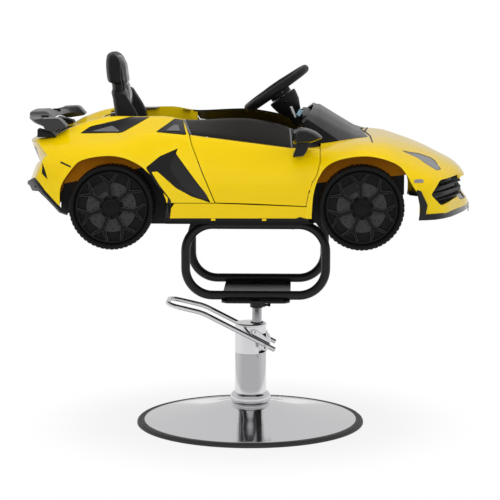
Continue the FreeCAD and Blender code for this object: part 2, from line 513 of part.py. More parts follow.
def pump_parts(model):
    """Pump cylinder, covers, cap, lever bracket and pin."""
    axis = Placement(Vector(model.pump_x, 0, 0), Rotation())
    pump = model.body("pump_body", axis)
    revolve(model, pump, [
        ("0", "<weight_seat>"), ("<flange_radius>", "<weight_seat>"),
        ("<flange_radius>", "<weight_seat> + <flange_thickness>"),
        ("<pump_radius>", "<weight_seat> + <flange_thickness>"), ("<pump_radius>", "<pump_height>"),
        ("0", "<pump_height>")])
    bore = sketch_on(pump, "RamBoreCircle", "XY_Plane")
    circle(model, bore, ("<ram_x> - <pump_x>", "0"), "<ram_radius> + <running_gap>")
    hollow = pump.newObject("PartDesign::Pocket", "RamBore")
    hollow.Profile = bore
    hollow.Type = "Length"
    hollow.Reversed = True
    hollow.setExpression("Length", model.bound("<pump_height> + <cut_overrun>"))
    for k in range(int(model.base_bolt_count)):
        drill(model, pump, ("<base_bolt_circle> * cos(45deg + %d * 360deg / <base_bolt_count>)" % k,
                            "<base_bolt_circle> * sin(45deg + %d * 360deg / <base_bolt_count>)" % k),
              "<base_bolt_radius> + <running_gap>", name="FlangeHole%d" % k)

    lower = model.body("pump_lower_cover", axis)
    foot = "<dome_top> - <rim_height>"
    revolve(model, lower, [
        ("<cover_radius> - <cover_wall>", foot), ("<cover_radius>", foot), ("<cover_radius>", "<cover_seam>"),
        ("<cover_radius> - <cover_wall>", "<cover_seam>")])

    upper = model.body("pump_upper_cover", axis)
    revolve(model, upper, [
        ("<cover_radius> - <cover_wall>", "<cover_seam>"), ("<cover_radius> - 0.5 * <cover_wall>", "<cover_seam>"),
        ("<cover_radius>", "<cover_seam> + 0.5 * <cover_wall>"), ("<cover_radius>", "<cover_top>"),
        ("<cover_radius> - <cover_wall>", "<cover_top>")])
    window = sketch_on(upper, "SlotOutline", "XZ_Plane")
    closed_outline(model, window, [
        ("<cover_radius> - <slot_depth>", "<slot_bottom>"), ("<cover_radius> + <cut_overrun>", "<slot_bottom>"),
        ("<cover_radius> + <cut_overrun>", "<slot_top>"), ("<cover_radius> - <slot_depth>", "<slot_top>")])
    slot = upper.newObject("PartDesign::Pocket", "Slot")
    slot.Profile = window
    slot.Type = "ThroughAll"
    slot.Midplane = True

    cap = model.body("pump_cap", axis)
    revolve(model, cap, [
        ("<cover_radius> - <cover_wall> - <running_gap>", "<pump_height>"),
        ("<cover_radius> - <cover_wall> - <running_gap>", "<cover_top>"),
        ("<cover_radius> + <cap_lip>", "<cover_top>"),
        ("<cover_radius> + <cap_lip>", "<cover_top> + 0.5 * <cap_height>"),
        ("<cover_radius> - <cap_lip>", "<cover_top> + <cap_height>"), ("0", "<cover_top> + <cap_height>"),
        ("0", "<pump_height>")])
    drill(model, cap, ("<ram_x> - <pump_x>", "0"), "<ram_radius> + <part_gap>", name="RamHole")
    model.doc.recompute()

    # Two cheeks stand beside the cover and a bridge joins them in front of it
    side = [(model.pump_x - model.cover_wall, model.cheek_top),
            (model.ram_x, model.cheek_top), (model.pivot_x + model.lever_eye, model.pivot_z + 2 * model.lever_eye),
            (model.pivot_x + 1.6 * model.lever_eye, model.pivot_z),
            (model.pivot_x + 0.6 * model.lever_eye, model.pivot_z - 1.2 * model.lever_eye),
            (model.pivot_x - model.lever_eye, model.pivot_z - model.lever_eye),
            (model.ram_x, model.pivot_z + 1.2 * model.lever_eye)]
    inner = model.cover_radius + model.part_gap
    cheek = prism(side, -inner - model.cheek_thickness, -inner)
    other = mirrored(cheek)
    front = model.pump_x + model.cover_radius + model.part_gap
    bridge = Part.makeBox(model.cheek_thickness, 2 * inner + model.cheek_thickness, 2.4 * model.lever_eye,
                          Vector(front, -inner - model.cheek_thickness / 2, model.pivot_z + model.pivot_radius
                                 + model.part_gap))
    pads = Part.makeBox(model.lever_eye, 2 * inner + model.cheek_thickness, model.cheek_thickness,
                        Vector(model.pump_x - model.lever_eye / 2, -inner - model.cheek_thickness / 2,
                               model.cheek_top - 2 * model.cheek_thickness))
    hollow = Part.makeCylinder(model.cover_radius, model.cover_top, Vector(model.pump_x, 0, 0))
    whole = cheek.fuse([other, bridge, pads]).cut(hollow)
    pivot = Vector(model.pivot_x, -model.lever_spread * 2, model.pivot_z)
    bracket_bore = Part.makeCylinder(model.pivot_radius + model.running_gap, model.lever_spread * 4, pivot,
                                     Vector(0, 1, 0))
    model.feature("lever_bracket", single(whole.cut(bracket_bore).removeSplitter()))

    half = model.lever_spread + model.lever_rod + model.cheek_thickness
    pin = Part.makeCylinder(model.pivot_radius, 2 * half, Vector(model.pivot_x, -half, model.pivot_z),
                            Vector(0, 1, 0))
    bore = Part.makeCylinder(model.pin_bore, 2 * half, Vector(model.pivot_x, -half, model.pivot_z),
                             Vector(0, 1, 0))
    model.feature("lever_pin", pin.cut(bore))


def flipped(point):
    """Point mirrored across the middle plane."""
    return Vector(point.x, -point.y, point.z)


def arc_between(start, end, first, second):
    """Return the arc that leaves start along first and arrives at end along second."""
    half_turn = first.getAngle(second) / 2
    chord = end - start
    radius = chord.Length / 2 / math.sin(half_turn)
    across = (second - first).normalize()
    middle = start + chord / 2 - across * (radius - radius * math.cos(half_turn))
    return Part.Arc(start, middle, end).toShape()


def lever_part(model):
    """Foot lever: one rod bent to a U, with an eye at each side of the pivot."""
    spread = model.lever_spread
    slope = Vector(-model.lever_bend_x - model.pivot_x, 0,
                   model.lever_bend_z - model.pivot_z - model.lever_rod)
    slope.normalize()
    bend = 4 * model.lever_rod
    corner = Vector(-model.lever_bend_x, -spread, model.lever_bend_z)
    seat = corner - slope * (corner.x - model.pivot_x) / slope.x
    tip_start = Vector(-model.lever_end + spread, -spread, model.lever_level)
    level = (tip_start - corner).normalize()
    start = seat - slope * model.lever_stub
    before, after = corner - slope * bend, corner + level * bend
    tip = tip_start + level * spread + Vector(0, spread, 0)
    edges = [Part.LineSegment(start, before).toShape(), arc_between(before, after, slope, level),
             Part.LineSegment(after, tip_start).toShape(),
             Part.Arc(tip_start, tip, flipped(tip_start)).toShape(),
             Part.LineSegment(flipped(tip_start), flipped(after)).toShape(),
             arc_between(flipped(after), flipped(before), level * -1, slope * -1),
             Part.LineSegment(flipped(before), flipped(start)).toShape()]
    path = Part.Wire(edges)
    section = Part.Wire(Part.Circle(start, slope, model.lever_rod).toShape())
    sweep = path.makePipeShell([section], True, False, 1)
    eyes = []
    for side in (-1, 1):
        low = side * spread - model.lever_rod
        foot = Vector(model.pivot_x, low, model.pivot_z)
        eyes.append(Part.makeCylinder(model.lever_eye, 2 * model.lever_rod, foot, Vector(0, 1, 0)))
    bore = Part.makeCylinder(model.pivot_radius + model.running_gap, 4 * spread,
                             Vector(model.pivot_x, -2 * spread, model.pivot_z), Vector(0, 1, 0))
    whole = sweep.fuse(eyes).cut(bore)
    model.feature("pump_lever", single(whole.removeSplitter()))


# Ram and swivelling frame

def frame_parts(model):
    """Ram, socket, lock screw, plate and the two tube loops."""
    ram = model.body("ram_rod", Placement(Vector(model.ram_x, 0, 0), Rotation()))
    chamfer = "<ram_radius> * 0.12"
    revolve(model, ram, [
        ("0", "<ram_bottom>"), ("<ram_radius> - " + chamfer, "<ram_bottom>"),
        ("<ram_radius>", "<ram_bottom> + " + chamfer), ("<ram_radius>", "<ram_top> - " + chamfer),
        ("<ram_radius> - " + chamfer, "<ram_top>"), ("0", "<ram_top>")])

    # The plate's underside is the zero height of the socket
    seat = Placement(Vector(model.ram_x, 0, model.loop_bottom - model.plate_thickness), Rotation())
    socket = model.body("frame_socket", seat)
    bore = "<ram_radius> + <running_gap>"
    revolve(model, socket, [
        (bore, "-<socket_height>"), ("<socket_radius> - 1.5 * <running_gap>", "-<socket_height>"),
        ("<socket_radius>", "-<socket_height> * 0.95"), ("<socket_radius>", "-<socket_flange_height>"),
        ("<socket_flange>", "-<socket_flange_height> * 0.4"), ("<socket_flange>", "0"), ("0", "0"),
        ("0", "<ram_top> - <loop_bottom> + <plate_thickness> + <part_gap>"),
        (bore, "<ram_top> - <loop_bottom> + <plate_thickness> + <part_gap>")])
    tapped = sketch_on(socket, "ScrewHoleCircle", "YZ_Plane")
    circle(model, tapped, ("0", "<lock_screw_drop> - <socket_height>"), "<lock_screw_radius> + <running_gap>")
    hole = socket.newObject("PartDesign::Pocket", "ScrewHole")
    hole.Profile = tapped
    hole.Type = "Length"
    hole.Reversed = True
    hole.setExpression("Length", model.bound("<socket_radius> + <cut_overrun>"))

    height = model.loop_bottom - model.plate_thickness - model.socket_height + model.lock_screw_drop
    start = Vector(model.ram_x + model.ram_radius + model.part_gap, 0, height)
    end = Vector(model.ram_x + model.lock_screw_reach, 0, height)
    head = end - Vector(model.lock_screw_radius * 2, 0, 0)
    model.feature("socket_lock_screw", rod(start, end, model.lock_screw_radius).fuse(
        rod(head, end, model.lock_screw_radius * 1.3)).removeSplitter())

    plate = model.body("frame_plate", seat)
    half, reach, cut = "<plate_half_length>", "(<loop_spread> + <plate_side>)", "<plate_corner>"
    side = [(half, reach + " - " + cut), (half + " - " + cut, reach)]
    corners = side + [("-(%s)" % u, v) for u, v in reversed(side)]
    corners += [("-(%s)" % u, "-(%s)" % v) for u, v in side]
    corners += [(u, "-(%s)" % v) for u, v in reversed(side)]
    pad(model, plate, corners, "<plate_thickness>", "XY_Plane", False)
    model.doc.recompute()

    for side_name, sign in (("right", -1), ("left", 1)):
        loop_part(model, "frame_loop_" + side_name, sign)
    bolts = []
    top = model.loop_top + model.pan_thickness
    for sign in (-1, 1):
        for way in (-1, 1):
            foot = Vector(model.frame_x + way * model.frame_bolt_pitch / 2, sign * model.loop_spread, top)
            bolts.append(bolt(model.bolt_head_radius, model.bolt_head_height, model.frame_bolt_radius,
                              model.pan_thickness + 2 * model.tube_radius, foot))
    model.feature("frame_bolts", Part.makeCompound(bolts))


def loop_part(model, label, sign):
    """One closed tube loop, a rounded rectangle standing on edge."""
    body = model.body(label, Placement(Vector(model.frame_x, sign * model.loop_spread, 0), Rotation()))
    spine = sketch_on(body, "Centreline", "XZ_Plane")
    half = "(<loop_half_length> - <tube_radius>)"
    low, high = "(<loop_bottom> + <tube_radius>)", "(<loop_top> - <tube_radius>)"
    turn = "<loop_bend>"
    reach, radius = model.value(half), model.loop_bend
    bottom, top = model.value(low), model.value(high)
    centres = [(reach - radius, bottom + radius, -90), (reach - radius, top - radius, 0),
               (-reach + radius, top - radius, 90), (-reach + radius, bottom + radius, 180)]
    arcs, lines = [], []
    for x, z, start in centres:
        ring = Part.Circle(Vector(x, z, 0), Vector(0, 0, 1), radius)
        corner = Part.ArcOfCircle(ring, math.radians(start), math.radians(start + 90))
        arcs.append(spine.addGeometry(corner, False))
    for k in range(4):
        first = spine.Geometry[arcs[k]]
        following = spine.Geometry[arcs[(k + 1) % 4]]
        lines.append(spine.addGeometry(Part.LineSegment(first.EndPoint, following.StartPoint), False))
    for k in range(4):
        spine.addConstraint(Sketcher.Constraint("Tangent", arcs[k], 2, lines[k], 1))
        spine.addConstraint(Sketcher.Constraint("Tangent", lines[k], 2, arcs[(k + 1) % 4], 1))
    right, up = half + " - " + turn, high + " - " + turn
    pin_point(model, spine, arcs[1], 3, (right, up))
    pin_point(model, spine, arcs[3], 3, ("-(%s)" % right, low + " + " + turn))
    held = spine.addConstraint(Sketcher.Constraint("Radius", arcs[0], radius))
    spine.setExpression("Constraints[%d]" % held, model.bound(turn))
    for other in arcs[1:]:
        spine.addConstraint(Sketcher.Constraint("Equal", arcs[0], other))
    model.doc.recompute()

    ring = body.newObject("Sketcher::SketchObject", "TubeSection")
    ring.AttachmentSupport = [(origin_plane(body, "YZ_Plane"), "")]
    ring.MapMode = "FlatFace"
    circle(model, ring, ("0", low), "<tube_radius>")
    tube = body.newObject("PartDesign::AdditivePipe", "Tube")
    tube.Profile = ring
    tube.Spine = (spine, [])
    for way in (-1, 1):
        drill(model, body, ("%d * <frame_bolt_pitch> / 2" % way, "0"),
              "<frame_bolt_radius> + <running_gap>", name="BoltHole")
    model.doc.recompute()


# Body surface and panels

class Surface:
    """The body's outer surface and the shell under it."""

    def __init__(self, model):
        self.model = model

    def x(self, share):
        """Length position of a share."""
        return self.model.car_mid_x + share * self.model.car_half_length

    def z(self, share):
        """Height of a share."""
        return self.model.car_base_z + share * self.model.car_body_height

    def outline(self, shares):
        """Side-view outline in real sizes."""
        return [(self.x(u), self.z(v)) for u, v in shares]

    def section(self, x_share, half, inset):
        """One closed cross-section, drawn in by the inset."""
        model = self.model
        narrow = 1 - inset / model.car_half_width
        shorten = 1 - inset / model.car_half_length
        points = [Vector(model.car_mid_x + x_share * model.car_half_length * shorten,
                         share * model.car_half_width * narrow, self.z(up) - inset) for share, up in half]
        if inset:
            points[-1].z = model.car_base_z - model.cut_overrun
        left = [Vector(p.x, -p.y, p.z) for p in reversed(points[1:])]
        ring = left + points
        return Part.makePolygon(ring + ring[:1])

    def block(self, low, high, inset=0.0):
        """Closed solid of the body between two stations, drawn in by the inset."""
        chosen = [entry for entry in SURFACE_SHARES if low <= entry[0] <= high]
        wires = [self.section(x_share, half, inset) for x_share, half in chosen]
        return Part.makeLoft(wires, True, True)

    def shell(self, low, high):
        """Open shell of the body between two stations."""
        return self.block(low, high).cut(self.block(low, high, self.model.body_wall))

    def across(self, points):
        """Side-view outline carried right through the body."""
        width = self.model.car_half_width + self.model.cut_overrun
        return prism(points, -width, width)

    def right(self, points, inner_share=0.0):
        """Side-view outline carried through the right flank, from a share of the half width outwards."""
        model = self.model
        return prism(points, -model.car_half_width - model.cut_overrun, -model.car_half_width * inner_share)

    def box(self, low, high, foot, top, half):
        """Block between two length shares and two height shares, half its width to each side."""
        return prism([(self.x(low), self.z(foot)), (self.x(high), self.z(foot)),
                      (self.x(high), self.z(top)), (self.x(low), self.z(top))], -half, half)


def shrink(points, gap):
    """Draw a closed outline in by a gap, corner by corner."""
    count = len(points)
    area = sum(points[i - 1][0] * points[i][1] - points[i][0] * points[i - 1][1] for i in range(count))
    inward = gap if area > 0 else -gap
    inner = []
    for i, (u, v) in enumerate(points):
        before, after = points[i - 1], points[(i + 1) % count]
        first, second = math.hypot(u - before[0], v - before[1]), math.hypot(after[0] - u, after[1] - v)
        du, dv = (u - before[0]) / first, (v - before[1]) / first
        eu, ev = (after[0] - u) / second, (after[1] - v) / second
        share = inward / (1 + du * eu + dv * ev)
        inner.append((u - (dv + ev) * share, v + (du + eu) * share))
    return inner


def grow(points, gap):
    """Widen a closed outline by a gap."""
    return shrink(points, -gap)


def body_parts(model):
    """Yellow shells, doors, trims and the pieces that sit in their openings."""
    surface = Surface(model)
    mouth = grille_mouth(model, surface)
    front = front_panel(model, surface, mouth)
    rear_panel(model, surface)
    window_panes(model, surface)
    rockers(model, surface)
    doors(model, surface)
    hinges = door_hinges(model, front)
    model.feature("door_hinges", Part.makeCompound([hinges, mirrored(hinges)]))
    diffuser_parts(model, surface, surface.outline(DIFFUSER_SHARES))
    nose_parts(model, surface, mouth)
    deck_parts(model, surface, deck_outline(surface))


def front_panel(model, surface, mouth):
    """Everything ahead of the doors, with its arch liners and headlights."""
    line = [(u + model.door_front_gap, v) for u, v in surface.outline(DOOR_SHARES[:6])]
    roof, floor, nose = surface.z(ROOF_SHARE), surface.z(0) - model.cut_overrun, surface.x(NOSE_SHARE)
    ahead = [(line[0][0], roof)] + line + [(line[-1][0], floor), (nose, floor), (nose, roof)]
    front = surface.shell(.114, 1.0).common(surface.across(ahead))
    cockpit = surface.box(.114, .420, .3, ROOF_SHARE, model.tub_half_width * .75)
    front = front.cut([surface.across(surface.outline(FRONT_ARCH_SHARES)), cockpit])
    liner = arch_liner(surface, FRONT_ARCH_SHARES[1:11], -1)
    front = front.fuse([liner, mirrored(liner)])
    headlight = surface.outline(HEADLIGHT_SHARES)
    window = surface.right(headlight, LAMP_INNER_SHARE)
    front = biggest(front.cut([window, mirrored(window), mouth]))
    model.feature("front_body", front)

    trim_gap = model.trim_drop + model.part_gap
    lens = surface.shell(.597, 1.0).common(surface.right(shrink(headlight, trim_gap), LAMP_INNER_SHARE))
    lens = biggest(lowered(lens, model.trim_drop))
    model.feature("headlights", Part.makeCompound([lens, mirrored(lens)]))
    return front


def rear_panel(model, surface):
    """Everything behind the doors, with its arch liners, taillights and intakes."""
    gap = model.panel_gap
    edge = [(u - gap, v) for u, v in surface.outline(DOOR_SHARES[7:12])]
    roof, floor, tail = surface.z(ROOF_SHARE), surface.z(0) - model.cut_overrun, surface.x(-NOSE_SHARE)
    sill = surface.z(DOOR_SHARES[7][1])
    pillar = surface.x(TRIM_SHARES[4][0]) - gap - model.door_rear_gap
    arch_x = surface.x(-.60)
    behind = [(edge[0][0], sill)] + edge + [(pillar, roof), (tail, roof), (tail, floor), (arch_x, floor),
                                            (arch_x, sill)]
    rear = surface.shell(-1.0, .114).common(surface.across(behind))
    seat_well = surface.box(-.66, .2, .25, ROOF_SHARE, model.car_half_width * .57)
    rear = rear.cut([surface.across(surface.outline(REAR_ARCH_SHARES)), seat_well])
    tail_wall = surface.block(-1.0, -.788, model.body_wall * .5)
    tail_wall = tail_wall.common(surface.across(tail_band(model, surface)))
    rear = rear.fuse(tail_wall).cut([surface.across(surface.outline(TAIL_SHARES)),
                                     surface.across(surface.outline(DIFFUSER_SHARES))])
    liner = arch_liner(surface, REAR_ARCH_SHARES[1:12], -1)
    rear = rear.fuse([liner, mirrored(liner)])
    cuts = [surface.right(surface.outline(QUARTER_SHARES), WINDOW_INNER_SHARE),
            surface.right(surface.outline(SMALL_WINDOW_SHARES), WINDOW_INNER_SHARE),
            surface.right(surface.outline(INTAKE_SHARES), FLANK_INNER_SHARE), tail_light(model, surface, 0)]
    deck = deck_outline(surface)
    deck_hole = Part.makeBox(deck[1] - deck[0], 2 * deck[2], model.car_body_height,
                             Vector(deck[0], -deck[2], surface.z(.5)))
    rear = rear.cut(cuts + [mirrored(item) for item in cuts] + [deck_hole])
    model.feature("rear_body", biggest(rear))

    lens = tail_light(model, surface, model.part_gap)
    model.feature("taillights", Part.makeCompound([lens, mirrored(lens)]))
    vane = surface.right(shrink(surface.outline(INTAKE_SHARES), model.part_gap), FLANK_INNER_SHARE)
    vane = biggest(surface.shell(-.484, -.033).common(vane))
    vane.translate(Vector(0, model.body_wall * .5, 0))
    model.feature("side_intakes", Part.makeCompound([vane, mirrored(vane)]))


def window_panes(model, surface):
    """Black quarter windows and the small windows behind the doors."""
    gap = model.trim_drop + model.part_gap
    panes = []
    for shares in (QUARTER_SHARES, SMALL_WINDOW_SHARES):
        line = shrink(surface.outline(shares), gap)
        pane = surface.shell(-.788, -.033).common(prism(line, -model.car_half_width - model.cut_overrun,
                                                        -model.car_half_width * WINDOW_INNER_SHARE - gap))
        panes.append(biggest(lowered(pane, model.trim_drop)))
    model.feature("quarter_windows", Part.makeCompound(panes + [mirrored(item) for item in panes]))


def rockers(model, surface):
    """Sill panels below the doors, from arch to arch."""
    gap = model.panel_gap
    low, top = surface.z(.012), surface.z(DOOR_SHARES[7][1]) - gap
    sill = surface.z(DOOR_SHARES[5][1]) - gap
    front_x = surface.x(DOOR_SHARES[5][0]) + model.door_front_gap - gap
    line = [(surface.x(-.354), low), (front_x, low), (front_x, sill),
            (surface.x(DOOR_SHARES[6][0]), surface.z(DOOR_SHARES[6][1]) - gap),
            (surface.x(-.25), top), (surface.x(-.31), top)]
    rocker = surface.shell(-.374, .401).common(surface.right(line, FLANK_INNER_SHARE))
    rocker = rocker.cut([surface.across(grow(surface.outline(FRONT_ARCH_SHARES), gap)),
                         surface.across(grow(surface.outline(REAR_ARCH_SHARES), gap)),
                         surface.across(grow(surface.outline(INTAKE_SHARES), gap))])
    rocker = biggest(rocker)
    model.feature("rocker_right", rocker)
    model.feature("rocker_left", mirrored(rocker))


def doors(model, surface):
    """Door skins with their hinge sleeves, window trims and mirrors."""
    gap = model.panel_gap
    side = surface.shell(-.374, .401)
    skin = side.common(surface.right(shrink(surface.outline(DOOR_SHARES), gap / 2), FLANK_INNER_SHARE))
    door = biggest(skin).cut(door_pin_room(model)).fuse(door_knuckles(model)).removeSplitter()
    band = surface.outline(TRIM_SHARES)
    trim = side.common(prism(shrink(band, gap / 2), -model.car_half_width - model.cut_overrun,
                             -model.car_half_width * .56))
    ahead = surface.box(.319, 1.0, .3, NOSE_SHARE, model.car_half_width)
    ahead.translate(Vector(-3 * gap, 0, 0))
    trim = biggest(trim.cut(ahead))
    mirror = mirror_shape(model, surface)
    model.feature("door_right", biggest(door))
    model.feature("door_left", mirrored(biggest(door)))
    model.feature("door_trim_right", trim)
    model.feature("door_trim_left", mirrored(trim))
    model.feature("mirror_right", mirror)
    model.feature("mirror_left", mirrored(mirror))


def biggest(shape):
    """Return the largest solid of a shape."""
    return max(shape.Solids, key=lambda solid: solid.Volume)


def lowered(shape, drop):
    """Sink a trim piece a little below the surface round it."""
    moved = shape.copy()
    moved.translate(Vector(0, 0, -drop))
    return moved


def arch_liner(surface, shares, sign):
    """Band round a wheel arch, on the side given by sign."""
    model = surface.model
    line = surface.outline(shares)
    outer = [Vector(u, 0, v) for u, v in line]
    middle = sum((point.x for point in outer)) / len(outer)
    axle = Vector(middle, 0, model.wheel_z)
    wide = [point + (point - axle).normalize() * model.body_wall for point in outer]
    ring = outer + list(reversed(wide))
    face = Part.Face(Part.makePolygon(ring + ring[:1]))
    inner = model.pan_half_width if line[0][0] < model.steer_x else model.steer_wall_y
    reach = model.car_half_width * .985 - inner
    band = face.extrude(Vector(0, reach, 0))
    band.translate(Vector(0, sign * (inner + reach) if sign < 0 else inner, 0))
    return band.common(surface.block(-1.0, 1.0, model.body_wall * .4))


def tail_band(model, surface):
    """Side view of the wall that closes the tail."""
    rear = surface.outline(TAIL_SHARES)[2:9]
    wall = model.body_wall
    return rear + [(u + wall, v) for u, v in reversed(rear)]


def tail_light(model, surface, inset):
    """A taillight's block in the tail wall."""
    low, high = surface.z(.488) + inset, surface.z(.640) - inset
    inner, outer = model.car_half_width * .40 + inset, model.car_half_width * .78 - inset
    wall = model.body_wall
    back = surface.outline(TAIL_SHARES)[2:5]
    band = back + [(u + wall * 2.5, v) for u, v in reversed(back)]
    slab = prism(band, -outer, -inner)
    window = Part.makeBox(model.car_half_length, outer - inner, high - low,
                          Vector(surface.x(-1.1), -outer, low))
    return biggest(slab.common(window).common(surface.block(-1.0, -.788)))


def deck_outline(surface):
    """Rear and front ends and half width of the engine cover."""
    return surface.x(-.93), surface.x(-.67), surface.model.car_half_width * .40


def grille_mouth(model, surface, wider=0.0):
    """Six-sided opening through the nose and its two ends that wrap round the corners."""
    half = model.car_half_width
    side = [(share * half, surface.z(up)) for share, up in MOUTH_SHARES]
    ring = side + [(-y, z) for y, z in reversed(side[1:-1])]
    corners = [Vector(surface.x(.76), y, z) for y, z in grow(ring, wider)]
    front = Part.Face(Part.makePolygon(corners + corners[:1])).extrude(Vector(model.car_half_length, 0, 0))
    corner = prism(grow(surface.outline(CORNER_INTAKE_SHARES), wider), -half - model.cut_overrun, -half * .42)
    return front.fuse([corner, mirrored(corner)])


def door_knuckles(model):
    """Hinge sleeve inside the door's front edge."""
    foot = Vector(model.door_axis_x, -model.door_axis_y, model.hinge_z)
    radius = model.hinge_pin_radius * 1.8
    sleeve = Part.makeCylinder(radius, model.hinge_height, foot)
    web = Part.makeBox(radius * 3, radius, model.hinge_height, foot - Vector(radius * 3, radius, 0))
    return sleeve.fuse(web).cut(door_pin_room(model))


def door_pin_room(model):
    """Running clearance round a door's hinge pin."""
    foot = Vector(model.door_axis_x, -model.door_axis_y, model.hinge_z - model.cut_overrun)
    return Part.makeCylinder(model.hinge_pin_radius + model.running_gap,
                             model.hinge_height + 2 * model.cut_overrun, foot)


def door_hinges(model, front):
    """One side's hinge pin between two lugs that reach inwards past the door's swing to the front body."""
    axis = Vector(model.door_axis_x, -model.door_axis_y, 0)
    radius, lug = model.hinge_pin_radius, model.hinge_lug
    low = model.hinge_z - model.part_gap - lug
    high = model.hinge_z + model.hinge_height + model.part_gap
    pin = Part.makeCylinder(radius, high + lug - low, axis + Vector(0, 0, low))
    inward, forward = radius * 7.5, radius * 8.5
    plan = [(-radius * 1.5, -radius * .5), (radius * .5, -radius * .5), (radius * .5, radius * .7),
            (radius * 6.5, inward), (forward, inward), (forward, inward + radius * 2),
            (-radius * 1.5, inward + radius * 2)]
    corners = [axis + Vector(u, v, 0) for u, v in plan]
    face = Part.Face(Part.makePolygon(corners + corners[:1]))
    lugs = []
    for foot in (low, high):
        plate = face.extrude(Vector(0, 0, lug))
        plate.translate(Vector(0, 0, foot))
        lugs.append(plate)
    rail = Part.makeBox(radius * 1.5 + forward, radius * 2, high + lug - low,
                        axis + Vector(-radius * 1.5, inward, low))
    return biggest(pin.fuse(lugs + [rail]).cut(front).removeSplitter())


def mirror_shape(model, surface):
    """Door mirror: a tapered housing on a raked foot."""
    half = model.car_half_width
    line = surface.outline(MIRROR_SHARES)
    inner, outer = half * 1.02, half * 1.17
    big = Part.makePolygon([Vector(u, -inner, v) for u, v in line + line[:1]])
    middle = Vector(sum(u for u, _ in line) / len(line), 0, sum(v for _, v in line) / len(line))
    tight = [Vector(middle.x + (u - middle.x) * .62, -outer, middle.z + (v - middle.z) * .62) for u, v in line]
    small = Part.makePolygon(tight + tight[:1])
    housing = Part.makeLoft([big, small], True, True)
    arm = prism(surface.outline(MIRROR_FOOT_SHARES), -half * 1.06, -half * .86)
    body = surface.block(.114, .319)
    return biggest(housing.fuse(arm).cut(body).removeSplitter())


def diffuser_parts(model, surface, line):
    """Black lower tail with its upright fins."""
    width = model.car_half_width * .9
    lower = surface.block(-1.0, -.788).common(prism(shrink(line, model.part_gap), -width, width))
    hollow = surface.block(-1.0, -.788, model.body_wall * 3)
    pan = biggest(lower.cut(hollow))
    fins = []
    for share in (-.45, -.15, .15, .45):
        y = share * model.car_half_width
        fins.append(prism(surface.outline(TAIL_FIN_SHARES), y - model.body_wall, y + model.body_wall))
    shelf = prism(surface.outline(TAIL_SHELF_SHARES), -width * .85, width * .85)
    model.feature("rear_diffuser", biggest(pan.fuse(fins + [shelf]).removeSplitter()))


def nose_parts(model, surface, mouth):
    """Grille insert and splitter with its corner blades."""
    wall = model.body_wall
    outer = surface.block(.689, .978, wall * 4)
    back = surface.block(.689, .978, wall * 9)
    low, high = surface.z(.09), surface.z(.33)
    band = Part.makeBox(model.car_half_length, model.car_half_width * 2, high - low,
                        Vector(surface.x(.76), -model.car_half_width, low))
    insert = outer.cut(back).common(mouth).common(band)
    slats = []
    for k in range(3):
        level = low + (high - low) * (k + 1) / 4
        slab = Part.makeBox(model.car_half_length, model.car_half_width * 2, wall * 1.2,
                            Vector(surface.x(.76), -model.car_half_width, level))
        slats.append(slab)
    recess = surface.block(.689, .978, wall * 7)
    core = insert.common(recess)
    bars = [insert.common(slab) for slab in slats]
    frame = surface.block(.689, .978, wall).common(grille_mouth(model, surface, wall)).cut([mouth, back])
    curtain = recess.cut(back).common(surface.box(.76, 1.0, .012, .12, model.car_half_width * .62))
    model.feature("front_grille", biggest(core.fuse(bars + [frame, curtain]).removeSplitter()))

    edge = [Vector(surface.x(u), -v * model.car_half_width, 0) for u, v in SPLITTER_SHARES]
    edge += [Vector(p.x, -p.y, 0) for p in reversed(edge)]
    inner = [Vector(p.x - wall * 8, p.y * .9, 0) for p in reversed(edge)]
    ring = edge + inner
    blade = Part.Face(Part.makePolygon(ring + ring[:1])).extrude(Vector(0, 0, wall * 1.4))
    blade.translate(Vector(0, 0, surface.z(0) - wall))
    half = model.car_half_width
    fins = prism(surface.outline(CORNER_BLADE_SHARES), -half * .95, -half * .905)
    whole = blade.fuse([fins, mirrored(fins)]).cut(surface.block(.689, 1.0))
    model.feature("front_splitter", biggest(whole.removeSplitter()))


def deck_parts(model, surface, deck):
    """Slatted engine cover, wing and struts."""
    rear_x, front_x, half = deck
    gap = model.part_gap
    panel = surface.shell(-.954, -.582).common(
        Part.makeBox(front_x - rear_x - 2 * gap, 2 * (half - gap), model.car_body_height,
                     Vector(rear_x + gap, -half + gap, surface.z(.5))))
    slots = []
    pitch = (front_x - rear_x) / 6
    for k in range(1, 6):
        slots.append(Part.makeBox(pitch * .3, half * 1.3, model.car_body_height,
                                  Vector(rear_x + k * pitch - pitch * .15, -half * .65, surface.z(.5))))
    model.feature("rear_deck", biggest(biggest(panel).cut(slots)))

    span = model.wing_half_span
    ends = surface.outline(WING_SHARES)
    middle = surface.z(.872)
    wires = []
    other_half = [(-s, a, b, c) for s, a, b, c in reversed(WING_SPAN_SHARES[:-1])]
    for share, shift, lift, flat in WING_SPAN_SHARES + other_half:
        points = [Vector(u + shift * model.car_half_length, share * span,
                         middle + (v - middle) * flat + lift * model.car_body_height) for u, v in ends]
        wires.append(Part.makePolygon(points + points[:1]))
    wing = Part.makeLoft(wires, True, True)
    model.feature("rear_wing", wing)
    struts = []
    for sign in (-1, 1):
        y = sign * span * .50
        strut = prism(surface.outline(STRUT_SHARES), y - model.body_wall, y + model.body_wall)
        strut = strut.cut([wing, surface.block(-1.0, -.582)])
        struts.append(biggest(strut))
    model.feature("wing_struts", Part.makeCompound(struts))


# Cabin

def screen_block(model, surface, inset):
    """Closed solid under the windshield's outer face, drawn in by the inset."""
    wires = []
    for x_share, side in SCREEN_SHARES:
        points = [Vector(surface.x(x_share), y * (model.car_half_width - inset), surface.z(up) - inset)
                  for y, up in side]
        points.append(Vector(points[-1].x, points[-1].y, surface.z(.45) - inset))
        ring = [Vector(p.x, -p.y, p.z) for p in reversed(points[1:])] + points
        wires.append(Part.makePolygon(ring + ring[:1]))
    return Part.makeLoft(wires, True, True)


